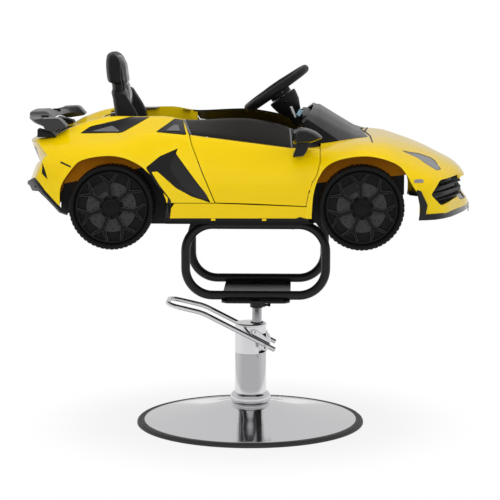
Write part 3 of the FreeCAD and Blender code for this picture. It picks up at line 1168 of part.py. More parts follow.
def cabin_parts(model):
    """Windshield, dashboard, column, seat and floor pan."""
    surface = Surface(model)
    half, wall = model.car_half_width, model.body_wall
    body = surface.block(.114, .689)
    body.translate(Vector(0, 0, model.part_gap))
    glass = screen_block(model, surface, 0).cut([screen_block(model, surface, wall), body])
    opening = Part.makeCylinder(half * .16, model.car_body_height, Vector(surface.x(.262), 0, surface.z(.9)))
    model.feature("windshield", biggest(glass.cut(opening)))

    # Dashboard: a curved hood over a sloping face, with a hole for the column
    axis = model.column_axis()
    hub = Vector(model.steer_x, 0, model.steer_z)
    dash_line = surface.outline(DASH_SHARES)
    dash = prism(dash_line, -half * .50, half * .50)
    hollow = prism(shrink(dash_line, wall * 1.5), -half * .50 + wall * 1.5, half * .50 - wall * 1.5)
    column_bore = rod(hub, hub + axis * model.car_body_height, model.shaft_radius * 2.4)
    inside = screen_block(model, surface, wall + model.part_gap)
    dash = dash.cut([hollow, column_bore]).common(inside)
    model.feature("dashboard", biggest(dash))

    head = hub + axis * (model.wheel_rim_section * 2.4)
    shroud = Part.makeCone(model.shaft_radius * 3.6, model.shaft_radius * 2.4, model.car_body_height * .2,
                           head, axis)
    shroud_tail = rod(head, hub + axis * (model.car_body_height * .42), model.shaft_radius * 2.4)
    bore = rod(hub, hub + axis * model.car_body_height, model.shaft_radius + model.running_gap)
    model.feature("steering_column", biggest(shroud.fuse(shroud_tail).cut(bore).removeSplitter()))

    seat_parts(model, surface)
    floor_part(model, surface)
    steering_parts(model, surface, hub, axis)


def ring_section(points_half, z):
    """Closed plan section from half points given as (x, y)."""
    near = [Vector(x, -y, z) for x, y in points_half]
    away = [Vector(x, y, z) for x, y in reversed(points_half)]
    ring = near + away
    return Part.makePolygon(ring + ring[:1])


def seat_parts(model, surface):
    """Moulded seat and its soft pads."""
    half = model.seat_half_width
    scale = model.car_half_length
    back = model.car_mid_x
    wires = []
    for up, rear, middle, bolster, wide in SEAT_SHARES:
        edge = wide * half
        pts = [(back + rear * scale, edge * .62), (back + (rear + .02) * scale, edge),
               (back + bolster * scale, edge), (back + (bolster - .004) * scale, edge * .80),
               (back + middle * scale, edge * .70)]
        wires.append(ring_section(pts, surface.z(up)))
    shell_back = Part.makeLoft(wires, True, True)
    floor_top = model.loop_top + model.pan_thickness
    rear_x, front_x = surface.x(-.565), surface.x(-.15)
    base_line = [(rear_x, floor_top), (front_x, floor_top)]
    base_line += surface.outline(SEAT_BASE_SHARES)
    base = prism(base_line, -half * .95, half * .95)
    wall = model.body_wall
    hollow = prism([(rear_x + wall, floor_top), (front_x - wall, floor_top), (front_x - wall, surface.z(.30) - wall),
                    (rear_x + wall, surface.z(.30) - wall)], wall - half * .95, half * .95 - wall)
    base = base.cut(hollow)
    cushion_bed = prism(surface.outline(SEAT_BED_SHARES), -half * .74, half * .74)
    shell = shell_back.fuse(base).cut(cushion_bed)
    pad_gap = model.cushion_gap
    model.feature("seat_shell", biggest(shell.removeSplitter()))

    front = []
    for up, _, middle, _, wide in SEAT_SHARES[2:8]:
        edge = wide * half * .62
        thick = .022 if up < 1.45 else .012
        near_x = back + middle * scale + pad_gap
        pts = [(near_x, edge), (near_x + thick * scale * .6, edge * .96), (near_x + thick * scale, edge * .6)]
        front.append(ring_section(pts, surface.z(up)))
    back_pad = Part.makeLoft(front, True, True).cut(translated(shell_back, Vector(pad_gap, 0, 0)))
    rows = []
    low = surface.z(.30) + pad_gap
    for x_share, lift, wide in CUSHION_SHARES:
        top = low + lift * model.car_body_height
        y = wide * half
        spot = surface.x(x_share)
        pts = [Vector(spot, -y, low), Vector(spot, -y, low + (top - low) * .6), Vector(spot, -y * .8, top),
               Vector(spot, y * .8, top), Vector(spot, y, low + (top - low) * .6), Vector(spot, y, low)]
        rows.append(Part.makePolygon(pts + pts[:1]))
    seat_cushion = Part.makeLoft(rows, True, True)
    model.feature("seat_pad", Part.makeCompound([biggest(back_pad), seat_cushion]))


def translated(shape, shift):
    """Return a moved copy of a shape."""
    moved = shape.copy()
    moved.translate(shift)
    return moved


def floor_part(model, surface):
    """Black tub with skirts, axle blocks and kingpin ears."""
    bottom, wall = model.loop_top, model.pan_thickness
    half = model.pan_half_width
    front_x, rear_x = surface.x(.69), surface.x(-.80)
    sheet = Part.makeBox(front_x - rear_x, 2 * half, wall, Vector(rear_x, -half, bottom))
    room = model.wheel_radius + 3 * wall
    for foot in (-half, model.steer_wall_y):
        sheet = sheet.cut(Part.makeBox(2 * room, half - model.steer_wall_y, wall,
                                       Vector(model.front_axle_x - room, foot, bottom)))
    skirt_half = model.skirt_half_width
    line = [(model.skirt_rear_x, model.skirt_bottom), (model.skirt_front_x, model.skirt_bottom),
            (model.skirt_front_x, model.skirt_top),
            (model.skirt_front_x - (model.skirt_top - model.skirt_bottom) * 1.6, surface.z(.012) - model.part_gap),
            (model.skirt_rear_x, surface.z(.012) - model.part_gap)]
    plate = prism(line, -skirt_half, -half)
    under = prism([(model.skirt_rear_x, bottom), (model.skirt_front_x, bottom),
                   (model.skirt_front_x, model.skirt_bottom + wall / 2),
                   (model.skirt_rear_x, model.skirt_bottom + wall / 2)], -half - wall, -half + wall)
    skirt = plate.cut(surface.block(-.484, .401)).fuse(under)
    top = bottom + model.tub_height
    inner = model.tub_half_width
    outside = Part.makeBox(model.tub_front_x - model.tub_rear_x, 2 * (inner + wall), top - bottom,
                           Vector(model.tub_rear_x, -inner - wall, bottom))
    inside = Part.makeBox(model.tub_front_x - model.tub_rear_x - 2 * wall, 2 * inner, top - bottom,
                          Vector(model.tub_rear_x + wall, -inner, bottom))
    tub = outside.cut(inside)
    ribs = []
    for share in RIB_SHARES:
        ribs.append(Part.makeBox(wall, 2 * inner, model.rib_height, Vector(surface.x(share), -inner, bottom)))
    axle_blocks = []
    block = model.axle_radius * 4
    for sign in (-1, 1):
        y = sign * (inner - block) - wall / 2
        axle_blocks.append(Part.makeBox(block * 1.6, wall * 3, model.wheel_z - bottom + block * .6,
                                        Vector(model.rear_axle_x - block * .8, y - wall, bottom)))
    beam = Part.makeBox(block * 1.2, 2 * (model.kingpin_y - model.knuckle_radius * 1.6),
                        model.wheel_z + model.kingpin_half + wall - bottom,
                        Vector(model.front_axle_x - block * .6,
                               -model.kingpin_y + model.knuckle_radius * 1.6, bottom))
    ears = []
    pin_bores = []
    for sign in (-1, 1):
        for side in (-1, 1):
            level = model.wheel_z + side * (model.kingpin_half + model.part_gap)
            foot = level if side > 0 else level - wall
            ear = Part.makeBox(block * 1.2, model.knuckle_radius * 2.6, wall,
                               Vector(model.front_axle_x - block * .6,
                                      sign * model.kingpin_y - model.knuckle_radius
                                      - (0 if sign < 0 else model.knuckle_radius * .6), foot))
            ears.append(ear)
        pin_bores.append(Part.makeCylinder(model.kingpin_radius + model.running_gap * 2, model.car_body_height,
                                           Vector(model.front_axle_x, sign * model.kingpin_y, bottom)))
    gap_ahead = Part.makeBox(front_x, 2 * half, model.car_body_height, Vector(front_x, -half, bottom))
    housings = []
    slot = Part.makeBox(model.arm_reach - block * .6 + block, 2 * model.kingpin_y, model.tie_rod_radius * 6,
                        Vector(model.front_axle_x - model.arm_reach - block, -model.kingpin_y,
                               model.wheel_z - model.arm_drop - model.tie_rod_radius * 4))
    for shares, face in ((REAR_ARCH_SHARES[1:13], half), (FRONT_ARCH_SHARES[1:13], model.steer_wall_y)):
        line = grow(surface.outline(shares), model.body_wall)
        foot = [(line[-1][0], bottom), (line[0][0], bottom)]
        housing = prism(line + foot, -face, wall - face).cut([slot, gap_ahead])
        housings += [housing, mirrored(housing)]
    whole = sheet.fuse([skirt, mirrored(skirt), tub, beam] + ribs + axle_blocks + ears + housings)
    tunnel = Part.makeCylinder(model.axle_radius + model.part_gap, 4 * half,
                               Vector(model.rear_axle_x, -2 * half, model.wheel_z), Vector(0, 1, 0))
    hub = Vector(model.steer_x, 0, model.steer_z)
    shaft_hole = rod(hub, hub + model.column_axis() * model.car_body_height * 1.1, model.shaft_radius * 2)
    holes = [tunnel, shaft_hole] + pin_bores
    for sign in (-1, 1):
        for way in (-1, 1):
            holes.append(Part.makeCylinder(model.frame_bolt_radius + model.running_gap, 10 * wall,
                                           Vector(model.frame_x + way * model.frame_bolt_pitch / 2,
                                                  sign * model.loop_spread, bottom - wall)))
    seat_room = Part.makeBox(surface.x(-.135) - surface.x(-.60), 2 * model.seat_half_width, model.tub_height,
                             Vector(surface.x(-.60), -model.seat_half_width, bottom + wall))
    whole = whole.cut(holes + [seat_room])
    model.feature("floor_pan", biggest(whole.removeSplitter()))


def steering_parts(model, surface, hub, axis):
    """Steering wheel, shaft, knuckles, tie rod and rear axle."""
    placement = Placement(hub, Rotation(Vector(0, 0, 1), axis * -1))
    section, outer = model.wheel_rim_section, model.wheel_rim_radius
    ring = Part.makeTorus(outer - section, section)
    boss = Part.makeCylinder(section * 2.6, section * 2.2, Vector(0, 0, -section * 2.2))
    spokes = []
    for angle in (90, 180, 270):
        spoke = Part.makeBox(outer - section * 1.5, section * 2.2, section * .8,
                             Vector(0, -section * 1.1, -section * 1.6))
        spoke.rotate(Vector(0, 0, 0), Vector(0, 0, 1), angle)
        spokes.append(spoke)
    wheel = ring.fuse(spokes + [boss]).removeSplitter()
    model.feature("steering_wheel", single(wheel), placement)
    start = hub + axis * section * 2.2
    end = hub + axis * (model.car_body_height * 1.08)
    model.feature("steering_shaft", rod(start, end, model.shaft_radius))

    for side_name, sign in (("right", -1), ("left", 1)):
        pin = Vector(model.front_axle_x, sign * model.kingpin_y, model.wheel_z)
        up = Vector(0, 0, model.kingpin_half)
        sleeve = rod(pin - up, pin + up, model.knuckle_radius)
        kingpin = rod(pin - up * 1.18, pin + up * 1.18, model.kingpin_radius)
        stub = rod(pin, Vector(pin.x, sign * (model.wheel_face - model.dish_depth * .75), pin.z), model.axle_radius)
        level = model.wheel_z - model.arm_drop
        arm = Part.makeBox(model.arm_reach, model.tie_rod_radius * 2.4, model.tie_rod_radius,
                           Vector(pin.x - model.arm_reach, pin.y - model.tie_rod_radius * 1.2,
                                  level - model.tie_rod_radius / 2))
        stud = Part.makeCylinder(model.tie_rod_radius * .75, model.tie_rod_radius * 2.5,
                                 Vector(pin.x - model.arm_reach + model.tie_rod_radius, pin.y,
                                        level - model.tie_rod_radius * 2.5))
        model.feature("knuckle_" + side_name, single(sleeve.fuse([kingpin, stub, arm, stud]).removeSplitter()))
    level = model.wheel_z - model.arm_drop - model.tie_rod_radius * 1.8
    x = model.front_axle_x - model.arm_reach + model.tie_rod_radius
    eye = model.tie_rod_radius * 2.6
    bar = Part.makeBox(model.tie_rod_radius * 2, 2 * model.kingpin_y, model.tie_rod_radius,
                       Vector(x - model.tie_rod_radius, -model.kingpin_y, level - model.tie_rod_radius / 2))
    rings, bores = [], []
    for sign in (-1, 1):
        spot = Vector(x, sign * model.kingpin_y, level - model.tie_rod_radius / 2)
        rings.append(Part.makeCylinder(eye, model.tie_rod_radius, spot))
        play = Vector(model.tie_rod_radius * .4, 0, 0)
        loose = model.tie_rod_radius * .75 + model.part_gap
        bores.append(Part.makeCylinder(loose, model.tie_rod_radius, spot))
        bores.append(Part.makeCylinder(loose, model.tie_rod_radius, spot + play))
        bores.append(Part.makeBox(play.x, 2 * loose, model.tie_rod_radius, spot - Vector(0, loose, 0)))
    model.feature("tie_rod", single(bar.fuse(rings).cut(bores).removeSplitter()))
    reach = model.wheel_face - model.dish_depth * .75
    model.feature("rear_axle", rod(Vector(model.rear_axle_x, -reach, model.wheel_z),
                                   Vector(model.rear_axle_x, reach, model.wheel_z), model.axle_radius))


# Wheels

def wheel_parts(model):
    """Four wheels with their spoked covers."""
    for end, x in (("front", model.front_axle_x), ("rear", model.rear_axle_x)):
        for side_name, sign in (("right", -1), ("left", 1)):
            turn = Rotation(Vector(1, 0, 0), -90 * sign)
            place = Placement(Vector(x, sign * model.wheel_face, model.wheel_z), turn)
            wheel_body(model, "wheel_%s_%s" % (end, side_name), place)
            cover_body(model, "wheel_cover_%s_%s" % (end, side_name), place)


def wheel_body(model, label, place):
    """Moulded wheel; its outer face is at local z = 0 and it lies below that."""
    body = model.body(label, place)
    bore = "<axle_radius> + <running_gap>"
    floor = "-<dish_depth>"
    revolve(model, body, [
        (bore, "-<wheel_width> * 0.72"), ("<knuckle_radius> * 1.6", "-<wheel_width> * 0.72"),
        ("<knuckle_radius> * 1.6", floor + " - <wheel_width> * 0.09"),
        ("<wheel_radius> * 0.76", floor + " - <wheel_width> * 0.09"),
        ("<wheel_radius> * 0.84", "-<wheel_width>"), ("<wheel_radius> * 0.97", "-<wheel_width>"),
        ("<wheel_radius>", "-<wheel_width> * 0.93"), ("<wheel_radius>", "-<wheel_width> * 0.09"),
        ("<wheel_radius> * 0.965", "-<wheel_width> * 0.015"), ("<ring_radius> + 0.4 * <ring_width>", "0"),
        ("<ring_radius>", "-<wheel_width> * 0.03"), ("<ring_radius> - <ring_width> * 0.6", floor),
        ("<disc_radius>", floor), ("<disc_radius>", floor + " + <dish_depth> * 0.15"),
        (bore, floor + " + <dish_depth> * 0.15")])
    return body


def cover_body(model, label, place):
    """Wheel cover: hub cap, seven forked spokes and a ring."""
    body = model.body(label, place)
    back = "-<dish_depth> * 0.85 + <running_gap>"
    face = back + " + <spoke_thickness>"
    revolve(model, body, [
        ("0", back + " + <spoke_thickness> * 0.3"), ("<hub_radius>", back + " + <spoke_thickness> * 0.3"),
        ("<hub_radius>", face + " + <spoke_thickness> * 0.4"),
        ("<hub_radius> * 0.8", face + " + <spoke_thickness> * 1.1"), ("0", face + " + <spoke_thickness> * 1.3")])
    sketch = sketch_on(body, "SpokeOutline", "XY_Plane")
    root, fork, tip = "<hub_radius> * 0.9", "<disc_radius> * 0.86", "<ring_radius> * 0.89"
    half, wide = "<spoke_width> * 0.5", "<spoke_width> * 2.2"
    side = [(root, half), (fork, "<spoke_width> * 0.42"), (tip, wide), (tip, wide + " - <spoke_width> * 0.55"),
            (fork + " + <spoke_width>", "0")]
    closed_outline(model, sketch, side + [(u, "-(%s)" % v) for u, v in reversed(side[:-1])])
    sketch.setExpression(".AttachmentOffset.Base.z", model.bound(back))
    spoke = body.newObject("PartDesign::Pad", "Spoke")
    spoke.Profile = sketch
    spoke.setExpression("Length", model.bound("<spoke_thickness>"))
    model.doc.recompute()
    turned = body.newObject("PartDesign::PolarPattern", "Spokes")
    turned.Originals = [spoke]
    turned.Axis = (sketch, ["N_Axis"])
    turned.Angle = 360
    turned.setExpression("Occurrences", model.bound("<spoke_count>"))
    body.Tip = turned
    ring = sketch_on(body, "RingOutline")
    inner, outer = "<ring_radius> - <ring_width> * 1.9", "<ring_radius> - <ring_width> * 0.7"
    closed_outline(model, ring, [(inner, back), (outer, back), (outer, face), (inner, face)])
    rim = body.newObject("PartDesign::Revolution", "Ring")
    rim.Profile = ring
    rim.ReferenceAxis = (ring, ["V_Axis"])
    rim.Angle = 360
    model.doc.recompute()
    return body


# Check and write

def check(model):
    """Stop at any object that failed or any sub-part without a valid shape."""
    model.doc.recompute()
    for item in model.doc.Objects:
        if "Invalid" in item.State or "Error" in item.State:
            raise RuntimeError("failed object: %s in state %s" % (item.Label, item.State))
    for item in model.parts:
        shape = item.Shape
        if shape.isNull() or not shape.isValid() or not shape.Solids:
            raise RuntimeError("bad shape: " + item.Label)
        print("%-22s solids %d volume %.0f" % (item.Label, len(shape.Solids), shape.Volume))


def write(model):
    """Write each sub-part to its own file."""
    os.makedirs("parts", exist_ok=True)
    for item in model.parts:
        item.Shape.exportStep("parts/%s.step" % item.Label)


def main():
    """Build every group, check it and write the files."""
    model = Model()
    base_parts(model)
    pump_parts(model)
    lever_part(model)
    frame_parts(model)
    body_parts(model)
    cabin_parts(model)
    wheel_parts(model)
    check(model)
    write(model)
    print("%d sub-parts" % len(model.parts))


main()
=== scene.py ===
"""Looks of the kids car barber chair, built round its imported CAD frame.

Metres. +X is the car's forward direction, +Z is up and the right side of the car is at -Y.
"""

import json
import logging
import math
from collections.abc import Callable, Sequence
from dataclasses import dataclass
from enum import Enum

import bmesh
import bpy
import numpy as np
from mathutils import Matrix, Vector

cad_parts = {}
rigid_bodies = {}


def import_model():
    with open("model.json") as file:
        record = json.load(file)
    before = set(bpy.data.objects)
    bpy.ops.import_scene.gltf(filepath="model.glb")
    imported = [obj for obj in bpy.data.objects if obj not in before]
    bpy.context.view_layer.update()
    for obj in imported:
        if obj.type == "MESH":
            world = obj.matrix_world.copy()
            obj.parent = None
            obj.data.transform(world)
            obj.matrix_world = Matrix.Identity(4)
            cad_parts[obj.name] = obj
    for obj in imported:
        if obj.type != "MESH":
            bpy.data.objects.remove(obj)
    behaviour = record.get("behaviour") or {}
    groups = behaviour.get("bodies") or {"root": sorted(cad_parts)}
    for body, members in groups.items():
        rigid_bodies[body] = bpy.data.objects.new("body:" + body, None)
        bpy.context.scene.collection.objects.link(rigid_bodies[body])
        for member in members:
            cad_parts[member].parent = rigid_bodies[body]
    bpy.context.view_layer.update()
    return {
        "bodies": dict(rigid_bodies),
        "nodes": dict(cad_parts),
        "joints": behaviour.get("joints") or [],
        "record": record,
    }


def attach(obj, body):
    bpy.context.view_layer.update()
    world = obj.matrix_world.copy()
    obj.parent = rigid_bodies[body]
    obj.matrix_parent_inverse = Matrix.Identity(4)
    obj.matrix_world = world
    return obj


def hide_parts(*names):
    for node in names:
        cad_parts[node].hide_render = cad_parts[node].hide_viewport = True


LOG = logging.getLogger("barber_chair")
FULL_TURN = 2 * math.pi
ACROSS = 0.4  # Half length of a prism that goes through the whole car
AXLE_HEIGHT = 0.5775
WALL = 0.0035  # Thickness of the moulded skins
SEAM = 0.0016

Colour = tuple[float, float, float]
Point2 = tuple[float, float]
Point3 = tuple[float, float, float]
Outline = Sequence[Point2]


class Side(Enum):
    """The two sides of the car, by the sign of Y."""

    RIGHT = -1
    LEFT = 1

    @property
    def word(self) -> str:
        """Name used in nodes, bodies and pieces."""
        return self.name.lower()


class Grain(Enum):
    """Surface texture of a finish."""

    PEEL = "peel"
    FINE = "fine"
    BRUSHED = "brushed"
    HIDE = "hide"
    CAST = "cast"
    MESH = "mesh"


class Keep(Enum):
    """What a carving step keeps."""

    INSIDE = "INTERSECT"
    OUTSIDE = "DIFFERENCE"
    BOTH = "UNION"


# Finishes


def feed(node: bpy.types.Node, values: dict[str | int, object]) -> None:
    """Set a node's inputs.

    Args:
        node: Shader node.
        values: For each input its value, or the socket that feeds it.
    """
    for name, value in values.items():
        if isinstance(value, bpy.types.NodeSocket):
            node.id_data.links.new(value, node.inputs[name])
        else:
            node.inputs[name].default_value = value


def added_node(tree: bpy.types.NodeTree, kind: str, values: dict[str | int, object] | None = None,
               **settings: str) -> bpy.types.Node:
    """Add a shader node.

    Args:
        tree: Node tree.
        kind: Its type, after "ShaderNode".
        values: Its inputs, as for feed.
        settings: Its own settings.

    Returns:
        The new node.
    """
    node = tree.nodes.new("ShaderNode" + kind)
    for name, value in settings.items():
        setattr(node, name, value)
    feed(node, values or {})
    return node


@dataclass(frozen=True)
class Finish:
    """One surface finish, made with nodes."""

    name: str
    slot: str
    colour: Colour
    roughness: float
    grain: Grain = Grain.FINE
    metal: float = 0.0
    coat: float = 0.0
    relief: float = 0.05
    scale: float = 900.0
    mottle: float = 0.06
    wear: float = 0.05
    shine: float = 0.5

    def material(self) -> bpy.types.Material:
        """Return the material, made on first use."""
        return bpy.data.materials.get(self.name) or self._make()

    def _make(self) -> bpy.types.Material:
        """Build the node tree.

        Returns:
            The new material.
        """
        material = bpy.data.materials.new(self.name)
        material.use_nodes = True
        tree = material.node_tree
        place = added_node(tree, "TexCoord").outputs["Object"]
        rough = added_node(tree, "MapRange", {
            "To Min": max(0.02, self.roughness * 0.86), "To Max": min(1.0, self.roughness * 1.16),
            "Value": self._noise(tree, place, 55.0, 6.0)})
        bump = added_node(tree, "Bump", {
            "Strength": self.relief, "Distance": 0.0006, "Height": self._height(tree, place)})
        feed(tree.nodes["Principled BSDF"], {
            "Metallic": self.metal, "Coat Weight": self.coat, "Coat Roughness": 0.06,
            "Specular IOR Level": self.shine, "Base Color": self._colour(tree, self._noise(tree, place, 14.0, 4.0)),
            "Roughness": rough.outputs["Result"], "Normal": bump.outputs["Normal"]})
        return material

    @staticmethod
    def _noise(tree: bpy.types.NodeTree, place: bpy.types.NodeSocket, scale: float,
               detail: float) -> bpy.types.NodeSocket:
        """Return the value of a noise with so many repeats a metre and so many octaves."""
        return added_node(tree, "TexNoise", {"Scale": scale, "Detail": detail, "Vector": place}).outputs["Fac"]

    def _colour(self, tree: bpy.types.NodeTree, cloud: bpy.types.NodeSocket) -> bpy.types.NodeSocket:
        """Return the colour, varied softly by a slow noise and lightened at worn edges.

        Args:
            tree: The material's node tree.
            cloud: A slow noise value.

        Returns:
            The colour's socket.
        """
        low, high, bare = ((*(min(1.0, c * gain + lift) for c in self.colour), 1) for gain, lift in (
            (1 - self.mottle, 0.0), (1 + self.mottle, 0.0), (1.5, 0.06)))
        blend = added_node(tree, "Mix", {"A": low, "B": high, "Factor": cloud}, data_type="RGBA")
        edge = added_node(tree, "MapRange", {
            "From Min": 0.55, "From Max": 0.75, "To Max": self.wear,
            "Value": added_node(tree, "NewGeometry").outputs["Pointiness"]})
        worn = added_node(tree, "Mix", {
            "A": blend.outputs["Result"], "B": bare, "Factor": edge.outputs["Result"]}, data_type="RGBA")
        return worn.outputs["Result"]

    def _height(self, tree: bpy.types.NodeTree, place: bpy.types.NodeSocket) -> bpy.types.NodeSocket:
        """Return the relief's height for the finish's grain.

        Args:
            tree: The material's node tree.
            place: Coordinates to read.

        Returns:
            The height's socket.
        """
        if self.grain in (Grain.HIDE, Grain.CAST, Grain.MESH):
            feature = "F1" if self.grain is Grain.CAST else "DISTANCE_TO_EDGE"
            return added_node(tree, "TexVoronoi", {"Scale": self.scale, "Vector": place},
                              feature=feature).outputs["Distance"]
        if self.grain is Grain.BRUSHED:
            place = added_node(tree, "Mapping", {"Scale": (1, 1, 0.03), "Vector": place}).outputs["Vector"]
        return self._noise(tree, place, self.scale, 3.0 if self.grain is Grain.BRUSHED else 2.0)


YELLOW = Finish("body_yellow", "yellow", (0.93, 0.64, 0.001), 0.14, Grain.PEEL, coat=0.12, relief=0.03, scale=320,
                mottle=0.015, wear=0.08, shine=0.2)
MOULDED_BLACK = Finish("moulded_black", "black", (0.008, 0.008, 0.0085), 0.42, relief=0.12, scale=1400, shine=0.2)
GLOSS_BLACK = Finish("gloss_black", "glossblack", (0.006, 0.006, 0.0065), 0.14, Grain.PEEL, coat=0.1, relief=0.03,
                     scale=300, shine=0.3)
PANEL_BLACK = Finish("panel_black", "glossblack", (0.012, 0.0105, 0.009), 0.3, Grain.PEEL, relief=0.03, scale=300,
                     shine=0.12)
SMOKE = Finish("satin_smoke", "smoke", (0.028, 0.028, 0.029), 0.28, Grain.PEEL, relief=0.03, scale=500, mottle=0.03)
LENS_GREY = Finish("lens_grey", "grey", (0.24, 0.24, 0.255), 0.3, Grain.PEEL, relief=0.04, scale=260, mottle=0.1)
# Light grey for glints on the black windows and strips on the door trim: painted reflection.
GLINT_GREY = Finish("pane_grey", "grey", (0.13, 0.13, 0.14), 0.25, Grain.PEEL, relief=0.02, scale=200)
WEAVE_BLACK = Finish("mesh_black", "black", (0.008, 0.008, 0.0085), 0.4, Grain.MESH, relief=1.0, scale=210)
COAT_BLACK = Finish("coat_black", "coat", (0.008, 0.008, 0.0085), 0.3, Grain.PEEL, relief=0.1, scale=700, shine=0.3)
CHROME = Finish("chrome", "chrome", (0.86, 0.86, 0.875), 0.05, Grain.PEEL, metal=1.0, relief=0.012, scale=120,
                mottle=0.02, wear=0.0)
STEEL = Finish("turned_steel", "steel", (0.62, 0.62, 0.64), 0.26, Grain.BRUSHED, metal=1.0, relief=0.1, scale=1800)
IRON = Finish("cast_iron", "iron", (0.03, 0.03, 0.032), 0.6, Grain.CAST, relief=0.3, scale=500)
RIM_RUBBER = Finish("rim_rubber", "rubber", (0.020, 0.020, 0.021), 0.5, relief=0.2, scale=1100)
TYRE_BLACK = Finish("tyre_black", "black", (0.006, 0.006, 0.0062), 0.5, relief=0.2, scale=900, shine=0.15)
SPOKE_BLACK = Finish("spoke_black", "glossblack", (0.005, 0.005, 0.0054), 0.24, Grain.PEEL, scale=300, shine=0.14)
# Spoke edge grey: light grey on the black spokes' chamfers, a painted highlight.
CHAMFER_HIGHLIGHT_GREY = Finish("chamfer_grey", "grey", (0.075, 0.075, 0.08), 0.2, Grain.PEEL, relief=0.03, scale=600)
DISC_GREY = Finish("disc_grey", "grey", (0.030, 0.030, 0.032), 0.35, Grain.BRUSHED, relief=0.1, scale=900, shine=0.3)
HIDE_BLACK = Finish("hide_black", "soft", (0.050, 0.050, 0.050), 0.3, Grain.HIDE, coat=0.3, relief=0.25, scale=620,
                    mottle=0.12)
# Arch liner yellow: the body's yellow painted darker and browner as the shade inside the wheel arches (painted shade).
ARCH_SHADE_YELLOW = Finish("arch_yellow", "yellow", (0.62, 0.235, 0.001), 0.4, relief=0.05, scale=600, shine=0.1)
SWITCH_BLUE = Finish("switch_blue", "grey", (0.22, 0.36, 0.46), 0.3, Grain.PEEL)


# Shapes


def monotone(known: np.ndarray, values: np.ndarray, wanted: np.ndarray) -> np.ndarray:
    """Smooth interpolation that passes its values without overshoot.

    Args:
        known: Rising positions, one a row of values.
        values: Values at the positions, any number a row.
        wanted: Positions to read.

    Returns:
        One row of values for each wanted position.
    """
    step = np.diff(known)[:, None]
    slope = np.diff(values, axis=0) / step
    tangent = np.zeros_like(values)
    same = slope[:-1] * slope[1:] > 0
    first, second = 2 * step[1:] + step[:-1], step[1:] + 2 * step[:-1]
    with np.errstate(divide="ignore", invalid="ignore"):
        mean = (first + second) / (first / slope[:-1] + second / slope[1:])
    tangent[1:-1] = np.where(same, mean, 0.0)
    tangent[0], tangent[-1] = slope[0], slope[-1]
    index = np.clip(np.searchsorted(known, wanted, side="right") - 1, 0, len(known) - 2)
    width = step[index]
    t = ((wanted - known[index])[:, None]) / width
    return ((2 * t**3 - 3 * t**2 + 1) * values[index] + (t**3 - 2 * t**2 + t) * width * tangent[index]
            + (3 * t**2 - 2 * t**3) * values[index + 1] + (t**3 - t**2) * width * tangent[index + 1])


def softened(points: Outline, share: float = 0.3, cuts: int = 5, closed: bool = True) -> list[Point2]:
    """Round each corner of a line.

    Args:
        points: Corners.
        share: How much of each neighbouring side a corner takes, up to 0.5.
        cuts: Pieces in a corner's arc.
        closed: Whether the last point joins the first.

    Returns:
        The rounded line's points.
    """
    corners = [np.array(p, float) for p in points]
    count = len(corners)
    line = [] if closed else [tuple(corners[0])]
    for i in range(count) if closed else range(1, count - 1):
        here, before, after = corners[i], corners[i - 1], corners[(i + 1) % count]
        start, end = here + (before - here) * share, here + (after - here) * share
        for k in range(cuts + 1):
            t = k / cuts
            line.append(tuple((1 - t) ** 2 * start + 2 * t * (1 - t) * here + t * t * end))
    return line if closed else line + [tuple(corners[-1])]


def drawn_in(points: Outline, gap: float) -> list[Point2]:
    """Offset a closed outline inwards.

    Args:
        points: Corners.
        gap: Distance; a negative one widens the outline.

    Returns:
        The offset corners.
    """
    count = len(points)
    area = sum(points[i - 1][0] * points[i][1] - points[i][0] * points[i - 1][1] for i in range(count))
    inward = gap if area > 0 else -gap
    inner = []
    for i, (u, v) in enumerate(points):
        before, after = points[i - 1], points[(i + 1) % count]
        first = math.hypot(u - before[0], v - before[1]) or 1.0
        second = math.hypot(after[0] - u, after[1] - v) or 1.0
        du, dv = (u - before[0]) / first, (v - before[1]) / first
        eu, ev = (after[0] - u) / second, (after[1] - v) / second
        share = inward / max(0.25, 1 + du * eu + dv * ev)
        inner.append((u - (dv + ev) * share, v + (du + eu) * share))
    return inner


class Form:
    """Points and faces of one shape."""

    def __init__(self) -> None:
        """Start empty."""
        self.points: list[Point3] = []
        self.faces: list[tuple[int, ...]] = []

    def add(self, points: Sequence[Point3], faces: Sequence[Sequence[int]]) -> "Form":
        """Add points and the faces that join them.

        Args:
            points: Points to add.
            faces: For each face its points' places in that list.

        Returns:
            The form itself.
        """
        start = len(self.points)
        self.points += [tuple(map(float, p)) for p in points]
        self.faces += [tuple(start + i for i in face) for face in faces]
        return self

    def join(self, *others: "Form") -> "Form":
        """Add other forms.

        Args:
            others: Forms to add.

        Returns:
            The form itself.
        """
        for other in others:
            self.add(other.points, other.faces)
        return self

    def moved(self, matrix: Matrix) -> "Form":
        """Return a moved copy; a mirroring matrix turns the faces round.

        Args:
            matrix: How each point moves.

        Returns:
            The moved copy.
        """
        turned = matrix.to_3x3().determinant() < 0
        copy = Form()
        copy.points = [tuple(matrix @ Vector(p)) for p in self.points]
        copy.faces = [tuple(reversed(f)) if turned else f for f in self.faces]
        return copy

    def mirrored(self) -> "Form":
        """Return the form on the car's other side."""
        return self.moved(Matrix.Scale(-1, 4, (0, 1, 0)))

    def both(self) -> "Form":
        """Return the form on both sides of the car."""
        return Form().join(self, self.mirrored())


def grid(rows: Sequence[Sequence[Point3]], ring: bool = True, loop: bool = False) -> Form:
    """Skin rows of points.

    Args:
        rows: Rows with equal numbers of points.
        ring: Whether each row closes on itself.
        loop: Whether the last row joins the first; otherwise flat faces close both.

    Returns:
        The skin.
    """
    width, count = len(rows[0]), len(rows)
    faces = []
    for i in range(count if loop else count - 1):
        for j in range(width if ring else width - 1):
            a, b = i * width + j, i * width + (j + 1) % width
            c, d = ((i + 1) % count) * width + (j + 1) % width, ((i + 1) % count) * width + j
            faces.append((a, b, c, d))
    if ring and not loop:
        faces.append(tuple(reversed(range(width))))
        faces.append(tuple(range((count - 1) * width, count * width)))
    return Form().add([p for row in rows for p in row], faces)


